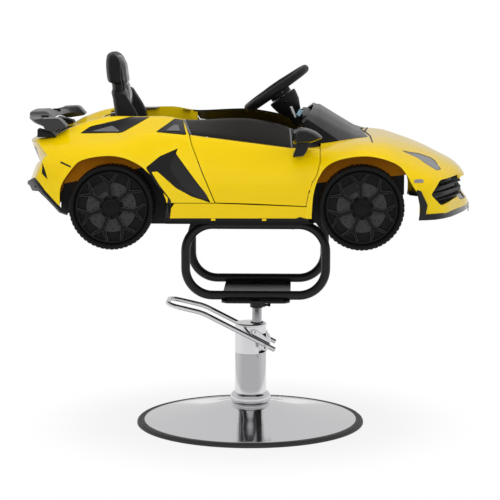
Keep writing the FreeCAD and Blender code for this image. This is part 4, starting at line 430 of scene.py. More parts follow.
def turned(profile: Outline, cuts: int = 96, centre: Point3 = (0, 0, 0),
           ripple: Callable[[float, float], float] | None = None, ring: bool = True) -> Form:
    """Turn a (radius, height) profile round an upright axis.

    Args:
        profile: Closed profile, or an open one whose ends lie on the axis.
        cuts: Steps in the turn.
        centre: Foot of the axis.
        ripple: Radius for a given radius and turn share, where the surface isn't round.
        ring: Whether the profile is closed.

    Returns:
        The turned form.
    """
    rows = []
    for k in range(cuts):
        angle = FULL_TURN * k / cuts
        row = []
        for radius, height in profile:
            reach = ripple(radius, k / cuts) if ripple else max(radius, 1e-6)
            row.append((centre[0] + reach * math.cos(angle), centre[1] + reach * math.sin(angle),
                        centre[2] + height))
        rows.append(row)
    return grid(rows, ring=ring, loop=True)


def swept(path: Sequence[Point3], radius: float, sides: int = 20, closed: bool = False) -> Form:
    """Carry a round section along a path.

    Args:
        path: Points of the centreline.
        radius: Radius of the section.
        sides: Sides of the section.
        closed: Whether the path closes.

    Returns:
        The swept form.
    """
    places = [Vector(p) for p in path]
    count = len(places)
    tangents = []
    for i in range(count):
        before = places[i - 1] if i or closed else places[i]
        after = places[(i + 1) % count] if i < count - 1 or closed else places[i]
        tangents.append((after - before).normalized())
    normal = tangents[0].orthogonal().normalized()
    shape = [(radius * math.cos(FULL_TURN * k / sides), radius * math.sin(FULL_TURN * k / sides))
             for k in range(sides)]
    rows = []
    for place, tangent in zip(places, tangents):
        normal = (normal - tangent * normal.dot(tangent)).normalized()
        across = tangent.cross(normal)
        rows.append([tuple(place + normal * u + across * v) for u, v in shape])
    return grid(rows, loop=closed)


def rounded_path(corners: Sequence[Point3], radius: float, cuts: int = 10, closed: bool = False) -> list[Point3]:
    """Round the corners of a path with true arcs.

    Args:
        corners: Corner points.
        radius: Bend radius.
        cuts: Pieces in an arc.
        closed: Whether the path closes.

    Returns:
        The path's points.
    """
    spots = [Vector(c) for c in corners]
    count = len(spots)
    path = [] if closed else [tuple(spots[0])]
    for i in range(count) if closed else range(1, count - 1):
        here = spots[i]
        to_before, to_after = (spots[i - 1] - here).normalized(), (spots[(i + 1) % count] - here).normalized()
        half = to_before.angle(to_after) / 2
        cut = radius / math.tan(half)
        centre = here + (to_before + to_after).normalized() * (radius / math.sin(half))
        start, end = here + to_before * cut - centre, here + to_after * cut - centre
        sweep = start.angle(end)
        for k in range(cuts + 1):
            t = k / cuts
            arm = start * (math.sin((1 - t) * sweep) / math.sin(sweep)) + end * (math.sin(t * sweep) / math.sin(sweep))
            path.append(tuple(centre + arm))
    return path if closed else path + [tuple(spots[-1])]


def slab(outline: Outline, low: float, high: float, edge: float = 0.0) -> Form:
    """Extrude a side-view (x, z) outline across the car.

    Args:
        outline: Corners.
        low: First Y.
        high: Last Y.
        edge: Width of the chamfer on both faces.

    Returns:
        The slab.
    """
    steps = [(outline, low), (outline, high)]
    if edge:
        small = drawn_in(outline, edge)
        steps = [(small, low), (outline, low + edge), (outline, high - edge), (small, high)]
    return grid([[(x, y, z) for x, z in line] for line, y in steps])


def swapped(flat: Form, order: tuple[int, int, int]) -> Form:
    """Return a form with two of its axes exchanged.

    Args:
        flat: Form to read.
        order: Which old axis each new one takes.

    Returns:
        The new form.
    """
    form = Form()
    form.points = [tuple(p[i] for i in order) for p in flat.points]
    form.faces = [tuple(reversed(f)) for f in flat.faces]
    return form


def upright(outline: Outline, low: float, high: float, edge: float = 0.0) -> Form:
    """Extrude a plan (x, y) outline upwards, chamfered by edge."""
    return swapped(slab(outline, low, high, edge), (0, 2, 1))


def lengthwise(outline: Outline, low: float, high: float) -> Form:
    """Extrude a front-view (y, z) outline along the car."""
    return swapped(slab(outline, low, high), (1, 0, 2))


def oblong(across: Point2, up: Point2) -> list[Point2]:
    """Corners of an oblong between two places across and two places up."""
    return [(across[0], up[0]), (across[1], up[0]), (across[1], up[1]), (across[0], up[1])]


def aimed(foot: Point3 | Vector, along: Vector) -> Matrix:
    """Matrix that brings the origin to a foot point and +Z to a direction."""
    return Matrix.Translation(foot) @ along.to_track_quat("Z", "Y").to_matrix().to_4x4()


def spun(angle: float, axis: str, foot: Point3 = (0, 0, 0)) -> Matrix:
    """Matrix that turns by an angle in degrees round an axis, then brings the origin to a foot point."""
    return Matrix.Translation(foot) @ Matrix.Rotation(math.radians(angle), 4, axis)


def rod(start: Point3, end: Point3, radius: float, sides: int = 24, edge: float = 0.0) -> Form:
    """Round bar between two points, with chamfered ends.

    Args:
        start: Middle of the first end.
        end: Middle of the second end.
        radius: Radius.
        sides: Sides of its section.
        edge: Width of the chamfers.

    Returns:
        The bar.
    """
    along = Vector(end) - Vector(start)
    steps = [(radius, 0), (radius, along.length)]
    if edge:
        steps = [(radius - edge, 0), (radius, edge), (radius, along.length - edge), (radius - edge, along.length)]
    rows = [[(r * math.cos(FULL_TURN * k / sides), r * math.sin(FULL_TURN * k / sides), z) for k in range(sides)]
            for r, z in steps]
    return grid(rows).moved(aimed(start, along.normalized()))


def hexagon(radius: float, height: float, foot: Point3) -> Form:
    """Bolt head standing on its foot point."""
    corners = [(radius * math.cos(k * math.pi / 3), radius * math.sin(k * math.pi / 3)) for k in range(6)]
    return upright(corners, 0, height, radius * 0.1).moved(Matrix.Translation(foot))


def mesh_of(form: Form, name: str) -> bpy.types.Mesh:
    """Make a clean mesh from a form.

    Args:
        form: Shape to read.
        name: The mesh's name.

    Returns:
        The mesh, its faces turned outwards.
    """
    mesh = bpy.data.meshes.new(name)
    mesh.from_pydata(form.points, [], form.faces)
    work = bmesh.new()
    work.from_mesh(mesh)
    bmesh.ops.remove_doubles(work, verts=work.verts, dist=1e-6)
    bmesh.ops.dissolve_degenerate(work, edges=work.edges, dist=1e-7)
    bmesh.ops.triangulate(work, faces=[f for f in work.faces if len(f.verts) > 4])
    bmesh.ops.recalc_face_normals(work, faces=work.faces)
    work.to_mesh(mesh)
    work.free()
    return mesh


def form_of(mesh: bpy.types.Mesh) -> Form:
    """Read a mesh back as a form.

    Args:
        mesh: Mesh to read.

    Returns:
        The form.
    """
    form = Form()
    form.points = [tuple(v.co) for v in mesh.vertices]
    form.faces = [tuple(p.vertices) for p in mesh.polygons]
    return form


def added(name: str, data: bpy.types.ID) -> bpy.types.Object:
    """Make an object round some data and put it in the scene.

    Args:
        name: The object's name.
        data: Mesh, camera or light.

    Returns:
        The new object.
    """
    item = bpy.data.objects.new(name, data)
    bpy.context.collection.objects.link(item)
    return item


def final_mesh(item: bpy.types.Object) -> bpy.types.Mesh:
    """Return an object's mesh with its modifiers done."""
    bpy.context.view_layer.update()
    return bpy.data.meshes.new_from_object(item.evaluated_get(bpy.context.evaluated_depsgraph_get()))


def dropped(item: bpy.types.Object) -> None:
    """Take an object and its mesh away.

    Args:
        item: Mesh object.
    """
    mesh = item.data
    bpy.data.objects.remove(item)
    bpy.data.meshes.remove(mesh)


def final_form(item: bpy.types.Object) -> Form:
    """Return an object's form with its modifiers done, and take the object away.

    Args:
        item: Mesh object.

    Returns:
        The form.
    """
    mesh = final_mesh(item)
    form = form_of(mesh)
    bpy.data.meshes.remove(mesh)
    dropped(item)
    return form


def carved(start: Form, *steps: tuple[Keep, Form]) -> Form:
    """Cut a closed form with others, one after the other.

    Args:
        start: Closed form.
        steps: What each step keeps, and its closed cutting form.

    Returns:
        The carved form.
    """
    blank = added("blank", mesh_of(start, "blank"))
    tools = []
    for keep, form in steps:
        tools.append(added("tool", mesh_of(form, "tool")))
        cut = blank.modifiers.new("cut", "BOOLEAN")
        cut.operation, cut.object, cut.solver = keep.value, tools[-1], "MANIFOLD"
    form = final_form(blank)
    for tool in tools:
        dropped(tool)
    return form


def largest(form: Form, count: int = 1) -> Form:
    """Keep the pieces of a form with the most points.

    Args:
        form: Form with loose pieces.
        count: How many pieces are kept.

    Returns:
        The kept pieces.
    """
    mesh = mesh_of(form, "sorted")
    work = bmesh.new()
    work.from_mesh(mesh)
    work.verts.ensure_lookup_table()
    seen, groups = set(), []
    for vert in work.verts:
        if vert in seen:
            continue
        seen.add(vert)
        group, todo = [], [vert]
        while todo:
            here = todo.pop()
            group.append(here)
            for edge in here.link_edges:
                other = edge.other_vert(here)
                if other not in seen:
                    seen.add(other)
                    todo.append(other)
        groups.append(group)
    groups.sort(key=len, reverse=True)
    loose = [v for group in groups[count:] for v in group]
    bmesh.ops.delete(work, geom=loose, context="VERTS")
    work.to_mesh(mesh)
    work.free()
    kept = form_of(mesh)
    bpy.data.meshes.remove(mesh)
    return kept


@dataclass(frozen=True)
class Filling:
    """How a soft form is filled with air."""

    voxel: float = 0.0045
    pressure: float = 4.0
    stiffness: float = 12.0
    frames: int = 20
    held: float = 0.002
    reach: float = 0.0035


def filled(form: Form, out: Vector, seam: Callable[[Point3], float], air: Filling = Filling()) -> Form:
    """Fill a soft form with air by a cloth simulation, then sew its seams.

    Args:
        form: Closed form, a little slacker than the finished pad.
        out: Direction in which the pad swells; its flat back is held.
        seam: Depth of the seams at a point.
        air: How it is filled, and how far a point may move.

    Returns:
        The filled form.
    """
    item = added("soft", mesh_of(form, "soft"))
    even = item.modifiers.new("even", "REMESH")
    even.mode, even.voxel_size = "VOXEL", air.voxel
    item.data = final_mesh(item)
    item.modifiers.clear()
    start = np.array([v.co for v in item.data.vertices])
    height = start @ np.array(out)
    held = item.vertex_groups.new(name="held")
    held.add([i for i, h in enumerate(height) if h < height.min() + air.held], 1.0, "REPLACE")
    end = start
    cloth = item.modifiers.new("air", "CLOTH")
    cloth.settings.vertex_group_mass = "held"
    cloth.settings.use_pressure, cloth.settings.uniform_pressure_force = True, air.pressure
    cloth.settings.effector_weights.gravity = 0.0
    cloth.settings.tension_stiffness = cloth.settings.compression_stiffness = air.stiffness
    cloth.point_cache.frame_start, cloth.point_cache.frame_end = 1, air.frames
    for frame in range(1, air.frames + 1):
        bpy.context.scene.frame_set(frame)
    moved = item.evaluated_get(bpy.context.evaluated_depsgraph_get()).to_mesh()
    end = np.array([v.co for v in moved.vertices])
    item.modifiers.clear()
    bpy.context.scene.frame_set(1)
    shift = end - start
    length = np.linalg.norm(shift, axis=1, keepdims=True)
    shift *= np.minimum(1.0, air.reach / np.maximum(length, 1e-9))
    for vert, place in zip(item.data.vertices, start + shift):
        vert.co = place
    fine = item.modifiers.new("fine", "SUBSURF")
    fine.levels = fine.render_levels = 1
    result = final_form(item)
    low = min(Vector(p).dot(out) for p in result.points)
    result.points = [tuple(Vector(p) - out * min(seam(p), max(0.0, Vector(p).dot(out) - low - air.held)))
                     for p in result.points]
    return result


def show(form: Form, name: str, finish: Finish, replaces: Sequence[str] = (), body: str = "car",
         crease: float = 32.0, bevel: float = 0.0) -> bpy.types.Object:
    """Place a form in the scene as a finished piece.

    Args:
        form: Shape in the frame.
        name: Piece name.
        finish: Its finish.
        replaces: CAD nodes that it stands for.
        body: CAD body that it rides on.
        crease: Angle in degrees above which an edge stays sharp.
        bevel: Width of a bevel on sharp edges.

    Returns:
        The new object.
    """
    mesh = mesh_of(form, name)
    mesh.materials.append(finish.material())
    mesh.polygons.foreach_set("use_smooth", [True] * len(mesh.polygons))
    mesh.set_sharp_from_angle(angle=math.radians(crease))
    piece = added(name, mesh)
    if bevel:
        edge = piece.modifiers.new("edge", "BEVEL")
        edge.width, edge.segments, edge.limit_method = bevel, 2, "ANGLE"
        edge.angle_limit = math.radians(crease)
        edge.harden_normals = True
    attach(piece, body)
    if replaces:
        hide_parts(*replaces)
    return piece


# Base, pump and frame


@dataclass
class Base:
    """Round base, pump, lever and ram."""

    radius: float = 0.285
    rim_width: float = 0.023
    rim_height: float = 0.010
    dome_top: float = 0.054
    dome_mouth: float = 0.0415
    dome_shares: Sequence[Point2] = ((0.0, 0.0), (0.15, 0.12), (0.33, 0.27), (0.52, 0.45), (0.70, 0.66),
                                     (0.86, 0.86), (1.0, 1.0))
    pump_x: float = 0.001
    cover_radius: float = 0.039
    cover_seam: float = 0.179
    cover_top: float = 0.249
    ram_x: float = 0.017
    ram_radius: float = 0.012
    ram_foot: float = 0.066
    ram_top: float = 0.322
    cheek: Point2 = (0.0394, 0.0424)  # Inner and outer face of a bracket cheek
    pivot: Point3 = (0.038, 0.0, 0.202)
    lever_spread: float = 0.054
    lever_rod: float = 0.006
    lever_corner: Point2 = (-0.118, 0.288)
    lever_tip: Point2 = (-0.206, 0.296)
    lever_bend: float = 0.12
    lever_round: float = 0.030

    def build(self) -> None:
        """Make every piece from the floor to the ram."""
        self.rim()
        self.dome()
        self.covers()
        self.bracket()
        self.lever()
        self.ram()

    def rim(self) -> None:
        """Rubber rim with a rounded outer edge and a fine groove."""
        outer, inner, top = self.radius, self.radius - self.rim_width, self.rim_height
        seat = self.radius - self.rim_width * 0.8
        profile = [(inner, 0), (outer - 0.002, 0), (outer, 0.0015), (outer, top * 0.45), (outer - 0.0012, top * 0.72),
                   (outer - 0.004, top * 0.95), (outer - 0.0065, top), (outer - 0.0085, top),
                   (outer - 0.0090, top - 0.0006), (outer - 0.0098, top - 0.0006), (outer - 0.0103, top),
                   (seat + 0.0012, top), (seat, top - 0.0008), (seat, 0.0075), (inner, 0.0075)]
        show(turned(profile, 192), "base_rim_rubber", RIM_RUBBER, ["base_rim"], body="base", crease=50)

    def dome(self) -> None:
        """Chrome dome as one smooth trumpet."""
        shares = np.array(self.dome_shares)
        span = self.radius - self.rim_width - self.dome_mouth
        along = np.linspace(0, 1, 60)
        rise = monotone(shares[:, 0], shares[:, 1:], along)[:, 0]
        upper = [(self.radius - self.rim_width - span * a, self.rim_height + (self.dome_top - self.rim_height) * up)
                 for a, up in zip(along, rise)]
        lip = (self.radius - self.rim_width * 0.8, self.rim_height)
        lower = [(r, z - 0.0025) for r, z in reversed(upper)]
        profile = [(lip[0], lip[1] - 0.0022), lip] + upper + lower
        show(turned(profile, 240), "base_dome_chrome", CHROME, ["base_plate"], body="base", crease=40)

    def covers(self) -> None:
        """Collar, lower cover, slotted upper cover and cap."""
        centre = (self.pump_x, 0, 0)
        r, foot = self.cover_radius, self.dome_top
        high = foot + 0.02405
        collar = [(r + 0.00005, foot), (0.0462, foot), (0.0485, foot + 0.0015), (0.0502, foot + 0.0055),
                  (0.0505, foot + 0.0100), (0.0502, foot + 0.0150), (0.0486, foot + 0.0195), (0.0455, foot + 0.0228),
                  (0.0425, high), (0.0410, high), (r + 0.00005, high - 0.0010)]
        show(turned(collar, 128, centre), "pump_collar", CHROME, ["base_collar"], body="base", crease=50)
        lower = [(r - 0.002, 0.045), (r, 0.045), (r, self.cover_seam - 0.0006), (r - 0.0006, self.cover_seam),
                 (r - 0.002, self.cover_seam)]
        show(turned(lower, 128, centre), "pump_cover_lower", CHROME, ["pump_lower_cover"], body="base", crease=50)
        upper = turned([(r - 0.002, self.cover_seam), (r - 0.001, self.cover_seam),
                        (r, self.cover_seam + 0.001), (r, self.cover_top), (r - 0.002, self.cover_top)], 128, centre)
        window = slab(oblong((r - 0.018, r + 0.02), (0.181, 0.219)), -0.06, 0.06).moved(Matrix.Translation(centre))
        upper = carved(upper, (Keep.OUTSIDE, window))
        show(upper, "pump_cover_upper", CHROME, ["pump_upper_cover"], body="base", crease=40)
        cap_top = self.cover_top + 0.006
        cap = [(r - 0.0021, 0.236), (r - 0.0021, self.cover_top), (r + 0.0006, self.cover_top),
               (r + 0.001, self.cover_top + 0.0006), (r + 0.001, self.cover_top + 0.003),
               (r + 0.0004, self.cover_top + 0.0048), (r - 0.001, cap_top - 0.0002), (r - 0.0028, cap_top),
               (0.0004, cap_top), (0.0004, 0.236)]
        hole = rod((self.ram_x, 0, 0.2), (self.ram_x, 0, 0.3), self.ram_radius + 0.0004, 64)
        lid = carved(turned(cap, 128, centre), (Keep.OUTSIDE, hole))
        show(lid, "pump_lid", CHROME, ["pump_cap"], body="base", crease=40)
        seal = turned([(self.ram_radius + 0.0004, cap_top), (self.ram_radius + 0.0044, cap_top),
                       (self.ram_radius + 0.0038, cap_top + 0.0016), (self.ram_radius + 0.0010, cap_top + 0.0020),
                       (self.ram_radius + 0.0004, cap_top + 0.0012)], 64, (self.ram_x, 0, 0))
        show(seal, "ram_seal", RIM_RUBBER, body="base")

    def bracket(self) -> None:
        """Cheeks with a rounded outline, their bridge, screws and the lever's pivot pin."""
        px, _, pz = self.pivot
        outline = softened([(-0.001, 0.243), (0.017, 0.243), (px + 0.009, pz + 0.018), (px + 0.0144, pz),
                            (px + 0.0054, pz - 0.0108), (px - 0.009, pz - 0.009), (0.017, pz + 0.0108)], 0.35, 6)
        whole = Form()
        for side in Side:
            low, high = sorted(side.value * face for face in self.cheek)
            whole.join(slab(outline, low, high, 0.0006))
        front = self.pump_x + self.cover_radius + 0.0004
        bridge = upright(softened([(front, -0.0409), (front + 0.003, -0.0409), (front + 0.003, 0.0409),
                                   (front, 0.0409)], 0.1, 2), pz + 0.0049, pz + 0.0265)
        whole.join(bridge)
        show(whole, "bracket_cheeks", CHROME, ["lever_bracket"], body="base", crease=40)
        screws = Form()
        for side in Side:
            y = side.value * self.cheek[1]
            for x, z, r in ((0.004, 0.2365, 0.0035), (0.0135, 0.2365, 0.003)):
                screws.join(rod((x, y, z), (x, y + side.value * 0.002, z), r, 24, 0.0006))
        show(screws, "bracket_screws", STEEL, body="base")
        half = self.lever_spread + 0.009
        hollow = [(0.0025, -half), (0.0040, -half), (0.0045, -half + 0.0006), (0.0045, half - 0.0006),
                  (0.0040, half), (0.0025, half)]
        pin = turned(hollow, 48).moved(spun(90, "X", self.pivot))
        show(pin, "lever_pivot_pin", CHROME, ["lever_pin"], body="base", crease=50)

    def lever(self) -> None:
        """Foot lever: a smooth bent rod with an eye at each side."""
        spread, r = self.lever_spread, self.lever_rod
        px, _, pz = self.pivot
        corner = Vector((self.lever_corner[0], -spread, self.lever_corner[1]))
        slope = (corner - Vector((px, -spread, pz + r))).normalized()
        seat = corner - slope * ((corner.x - px) / slope.x)
        tip_start = Vector((self.lever_tip[0] + spread, -spread, self.lever_tip[1]))
        level = (tip_start - corner).normalized()
        start = seat - slope * 0.027
        right = rounded_path([tuple(start), tuple(corner), tuple(tip_start)], self.lever_bend, 10)
        round_end = self.lever_round
        arc = []
        for way, angles in ((-1, np.linspace(0, math.pi / 2, 13)), (1, np.linspace(math.pi / 2, 0, 13))):
            for angle in angles:
                reach = spread - round_end + round_end * math.sin(angle)
                y = way * (spread - round_end + round_end * math.cos(angle))
                arc.append(tuple(tip_start + level * reach + Vector((0, spread + y, 0))))
        arc = arc[1:-1]
        left = [(x, -y, z) for x, y, z in reversed(right)]
        bar = swept(right + arc + left, r, 24)
        tips = Form()
        for side in Side:
            foot = Vector((start.x, side.value * spread, start.z))
            tips.join(turned([(0, 0.0022), (r * 0.6, 0.0016), (r, 0.0), (r, -0.004), (0, -0.004)], 24,
                             ring=False).moved(aimed(foot, -slope)))
        profile = [(0.00455, -r), (0.0082, -r), (0.009, -r + 0.0008), (0.009, r - 0.0008), (0.0082, r), (0.00455, r)]
        eyes = turned(profile, 48).moved(spun(90, "X", (px, -spread, pz))).both()
        show(bar.join(tips, eyes), "foot_lever_bar", CHROME, ["pump_lever"], body="lever", crease=50)

    def ram(self) -> None:
        """Polished ram."""
        r, foot, top, edge = self.ram_radius, self.ram_foot, self.ram_top, 0.0015
        profile = [(0, foot), (r - edge, foot), (r, foot + edge), (r, top - edge), (r - edge, top), (0, top)]
        rod_form = turned(profile, 64, (self.ram_x, 0, 0), ring=False)
        show(rod_form, "ram_polished", STEEL, ["ram_rod"], body="ram", crease=50)


@dataclass
class Frame:
    """Socket, plate and the two tube loops."""

    x: float = 0.017
    tube: float = 0.011
    half_length: float = 0.1813
    bottom: float = 0.3356
    top: float = 0.531
    bend: float = 0.066
    spread: float = 0.1378
    plate_half: float = 0.084
    plate_side: float = 0.022
    plate_thick: float = 0.006
    socket_depth: float = 0.036

    def build(self) -> None:
        """Make the swivelling frame."""
        self.socket()
        self.plate()
        for side in Side:
            self.loop(side)
        self.bolts()

    def socket(self) -> None:
        """Socket with its weld collar and lock screw."""
        seat = self.bottom - self.plate_thick
        low = seat - self.socket_depth
        profile = [(0.01205, low), (0.0160, low), (0.0172, low + 0.0008), (0.0175, low + 0.002),
                   (0.0175, seat - 0.0060), (0.0182, seat - 0.0044), (0.0200, seat - 0.0032),
                   (0.0225, seat - 0.0024), (0.0236, seat - 0.0012), (0.0240, seat), (0.01205, seat)]
        show(turned(profile, 96, (self.x, 0, 0)), "swivel_socket", COAT_BLACK, ["frame_socket"], crease=50)
        height = low + 0.0055
        screw = rod((self.x + 0.0124, 0, height), (self.x + 0.030, 0, height), 0.003, 24)
        head = rod((self.x + 0.028, 0, height), (self.x + 0.034, 0, height), 0.0039, 24, 0.0006)
        nut = hexagon(0.0052, 0.003, (0, 0, 0)).moved(spun(90, "Y", (self.x + 0.0178, 0, height)))
        show(screw.join(head, nut), "swivel_lock_screw", COAT_BLACK, ["socket_lock_screw"], crease=40)

    def plate(self) -> None:
        """Mounting plate with rounded corners."""
        half, reach, cut = self.plate_half, self.spread + self.plate_side, 0.014
        corners = [(half, cut - reach), (half, reach - cut), (half - cut, reach), (cut - half, reach),
                   (-half, reach - cut), (-half, cut - reach), (cut - half, -reach), (half - cut, -reach)]
        outline = [(self.x + u, v) for u, v in softened(corners, 0.12, 4)]
        show(upright(outline, self.bottom - self.plate_thick, self.bottom, 0.0007), "frame_plate_coated", COAT_BLACK,
             ["frame_plate"], crease=40)

    def loop(self, side: Side) -> None:
        """One bent tube loop with fillet welds on the plate.

        Args:
            side: Side of the car.
        """
        reach, low, high = self.half_length - self.tube, self.bottom + self.tube, self.top - self.tube
        y = side.value * self.spread
        corners = [(self.x - reach, y, low), (self.x + reach, y, low), (self.x + reach, y, high),
                   (self.x - reach, y, high)]
        path = rounded_path(corners, self.bend, 16, closed=True)
        tube = swept(path, self.tube, 32, closed=True)
        for way in (-1, 1):
            for edge in (-1, 1):
                bead = [(self.x + s * self.plate_half * 0.9, y + edge * 0.0052, self.bottom + 0.0004 * math.sin(40 * s))
                        for s in np.linspace(0.15 * way, 0.9 * way, 24)]
                tube.join(swept(bead, 0.0022, 8))
        show(tube, "tube_loop_" + side.word, COAT_BLACK, ["frame_loop_" + side.word], crease=50)

    def bolts(self) -> None:
        """Bolt heads with washers inside the floor pan."""
        form = Form()
        for sx in (-1, 1):
            for side in Side:
                place = (self.x + sx * 0.09, side.value * self.spread, self.top + 0.004)
                form.join(turned([(0.0031, 0), (0.0075, 0), (0.0075, 0.0008), (0.0031, 0.0008)], 32, place))
                form.join(hexagon(0.006, 0.0032, (place[0], place[1], place[2] + 0.0008)))
                form.join(rod((place[0], place[1], self.bottom + 0.173), place, 0.003))
        show(form, "frame_bolt_set", STEEL, ["frame_bolts"], crease=40)


# Car body


class BodySurface:
    """Outer surface of the yellow body, smooth along and across."""

    middle_x = -0.002
    half_length = 0.543
    half_width = 0.294
    base_z = 0.550
    height = 0.250
    corner = 0.36
    # Station share of the half length, then the half section as shares of half width and body height
    stations: Sequence[tuple[float, Sequence[Point2]]] = (
        (-1.000, ((0, .60), (.040, .60), (.080, .592), (.102, .584), (.122, .56), (.136, .40), (.136, .20))),
        (-.987, ((0, .67), (.20, .668), (.32, .660), (.357, .652), (.391, .62), (.415, .42), (.415, .16))),
        (-.954, ((0, .71), (.37, .710), (.56, .704), (.612, .696), (.653, .648), (.680, .44), (.673, .10))),
        (-.923, ((0, .73), (.41, .732), (.65, .732), (.697, .724), (.776, .656), (.837, .456), (.816, .05))),
        (-.862, ((0, .75), (.43, .748), (.67, .752), (.721, .744), (.850, .656), (.925, .48), (.905, .01))),
        (-.788, ((0, .77), (.44, .768), (.66, .836), (.728, .788), (.884, .672), (.973, .528), (.959, .01))),
        (-.685, ((0, .81), (.45, .808), (.64, .925), (.735, .800), (.912, .696), (.997, .584), (.983, .01))),
        (-.582, ((0, .88), (.46, .880), (.61, .960), (.735, .804), (.918, .716), (1.0, .608), (.990, .01))),
        (-.484, ((0, .92), (.45, .920), (.59, .944), (.741, .852), (.905, .752), (1.0, .560), (.986, .01))),
        (-.374, ((0, .93), (.44, .928), (.57, .948), (.728, .872), (.884, .792), (.993, .44), (.969, .01))),
        (-.247, ((0, .90), (.43, .904), (.57, .908), (.721, .852), (.871, .788), (.986, .38), (.952, .01))),
        (-.033, ((0, .93), (.43, .928), (.565, .928), (.714, .832), (.864, .728), (.983, .368), (.949, .01))),
        (.114, ((0, .89), (.43, .888), (.571, .884), (.721, .792), (.867, .688), (.980, .36), (.946, .01))),
        (.206, ((0, .82), (.435, .820), (.612, .808), (.741, .740), (.874, .668), (.980, .36), (.946, .01))),
        (.319, ((0, .75), (.425, .744), (.663, .688), (.776, .664), (.884, .644), (.983, .40), (.952, .01))),
        (.401, ((0, .75), (.415, .744), (.700, .696), (.810, .668), (.918, .632), (.993, .52), (.973, .01))),
        (.501, ((0, .745), (.40, .740), (.714, .720), (.837, .696), (.952, .648), (1.0, .592), (.990, .01))),
        (.597, ((0, .735), (.39, .732), (.694, .704), (.823, .668), (.939, .608), (.997, .544), (.983, .01))),
        (.689, ((0, .688), (.36, .680), (.646, .636), (.776, .590), (.891, .528), (.969, .448), (.956, .015))),
        (.785, ((0, .615), (.31, .604), (.544, .560), (.680, .514), (.803, .456), (.918, .36), (.905, .035))),
        (.860, ((0, .535), (.265, .526), (.442, .496), (.561, .462), (.670, .420), (.785, .336), (.800, .045))),
        (.925, ((0, .462), (.20, .454), (.320, .440), (.395, .420), (.455, .392), (.510, .336), (.530, .050))),
        (.960, ((0, .395), (.12, .391), (.205, .382), (.25, .372), (.295, .358), (.335, .330), (.355, .050))),
        (.972, ((0, .348), (.10, .347), (.16, .345), (.20, .343), (.24, .340), (.27, .336), (.285, .050))),
        (.981, ((0, .105), (.07, .105), (.12, .104), (.155, .102), (.185, .100), (.21, .096), (.225, .050))),
        (.995, ((0, .075), (.02, .075), (.034, .074), (.048, .072), (.061, .070), (.075, .066), (.088, .050))),
    )

    def __init__(self) -> None:
        """Prepare the table for reading; the nose and tail are parabolas in plan."""
        self._known = np.array([self._spread(share) for share, _ in self.stations])
        self._values = np.array([[c for point in half for c in point] for _, half in self.stations])
        self._solids: dict[tuple[float, float, float], Form] = {}

    @staticmethod
    def _spread(share: float) -> float:
        """Position along the car on a scale that opens out at both ends."""
        return math.copysign(1 - math.sqrt(1 - abs(share)), share)

    def x(self, share: float) -> float:
        """Length position of a share."""
        return self.middle_x + share * self.half_length

    def y(self, share: float) -> float:
        """Distance from the middle plane of a share."""
        return share * self.half_width

    def z(self, share: float) -> float:
        """Height of a share."""
        return self.base_z + share * self.height

    def outline(self, shares: Outline) -> list[Point2]:
        """Side-view outline in metres."""
        return [(self.x(u), self.z(v)) for u, v in shares]

    def block(self, length: Point2, height: Point2, low: float, high: float) -> Form:
        """Block between two length shares and two height shares, from a first to a last Y in metres."""
        return slab(oblong((self.x(length[0]), self.x(length[1])), (self.z(height[0]), self.z(height[1]))), low, high)

    def half_section(self, spread: float) -> list[Point2]:
        """Rounded half section at a place on the spread scale, from the middle to the lower edge."""
        row = monotone(self._known, self._values, np.array([spread]))[0]
        return softened([(row[i], row[i + 1]) for i in range(0, len(row), 2)], self.corner, 5, closed=False)

    def solid(self, inset: float = 0.0, low: float = -1.0, high: float = 1.0) -> Form:
        """Closed solid of the body.

        Args:
            inset: How far the surface is drawn in; a negative one lies outside.
            low: First station share.
            high: Last station share.

        Returns:
            The solid; one that is drawn in runs on below the lower edge.
        """
        key = (round(inset, 5), low, high)
        if key in self._solids:
            return self._solids[key]
        shorten, narrow = 1 - inset / self.half_length, 1 - inset / self.half_width
        first, last = self._spread(low), self._spread(high)
        rows = []
        for spread in np.linspace(first, last, max(12, int(110 * (last - first)))):
            share = math.copysign(1 - (1 - abs(spread)) ** 2, spread)
            half = [(self.y(u) * narrow, self.z(v) - inset) for u, v in self.half_section(float(spread))]
            if inset > 0:
                half[-1] = (half[-1][0], self.base_z - 0.04)
            place = self.middle_x + share * self.half_length * shorten
            rows.append([(place, -y, z) for y, z in reversed(half[1:])] + [(place, y, z) for y, z in half])
        self._solids[key] = grid(rows)
        return self._solids[key]

    def skin(self, proud: float, depth: float, *steps: tuple[Keep, Form], low: float = -1.0,
             high: float = 1.0) -> Form:
        """Layer of the body's surface.

        Args:
            proud: How far it stands out of the surface.
            depth: How far it goes in.
            steps: Cuts that shape it.
            low: First station share.
            high: Last station share.

        Returns:
            The layer.
        """
        return carved(self.solid(-proud, low, high), *steps, (Keep.OUTSIDE, self.solid(depth, low, high)))


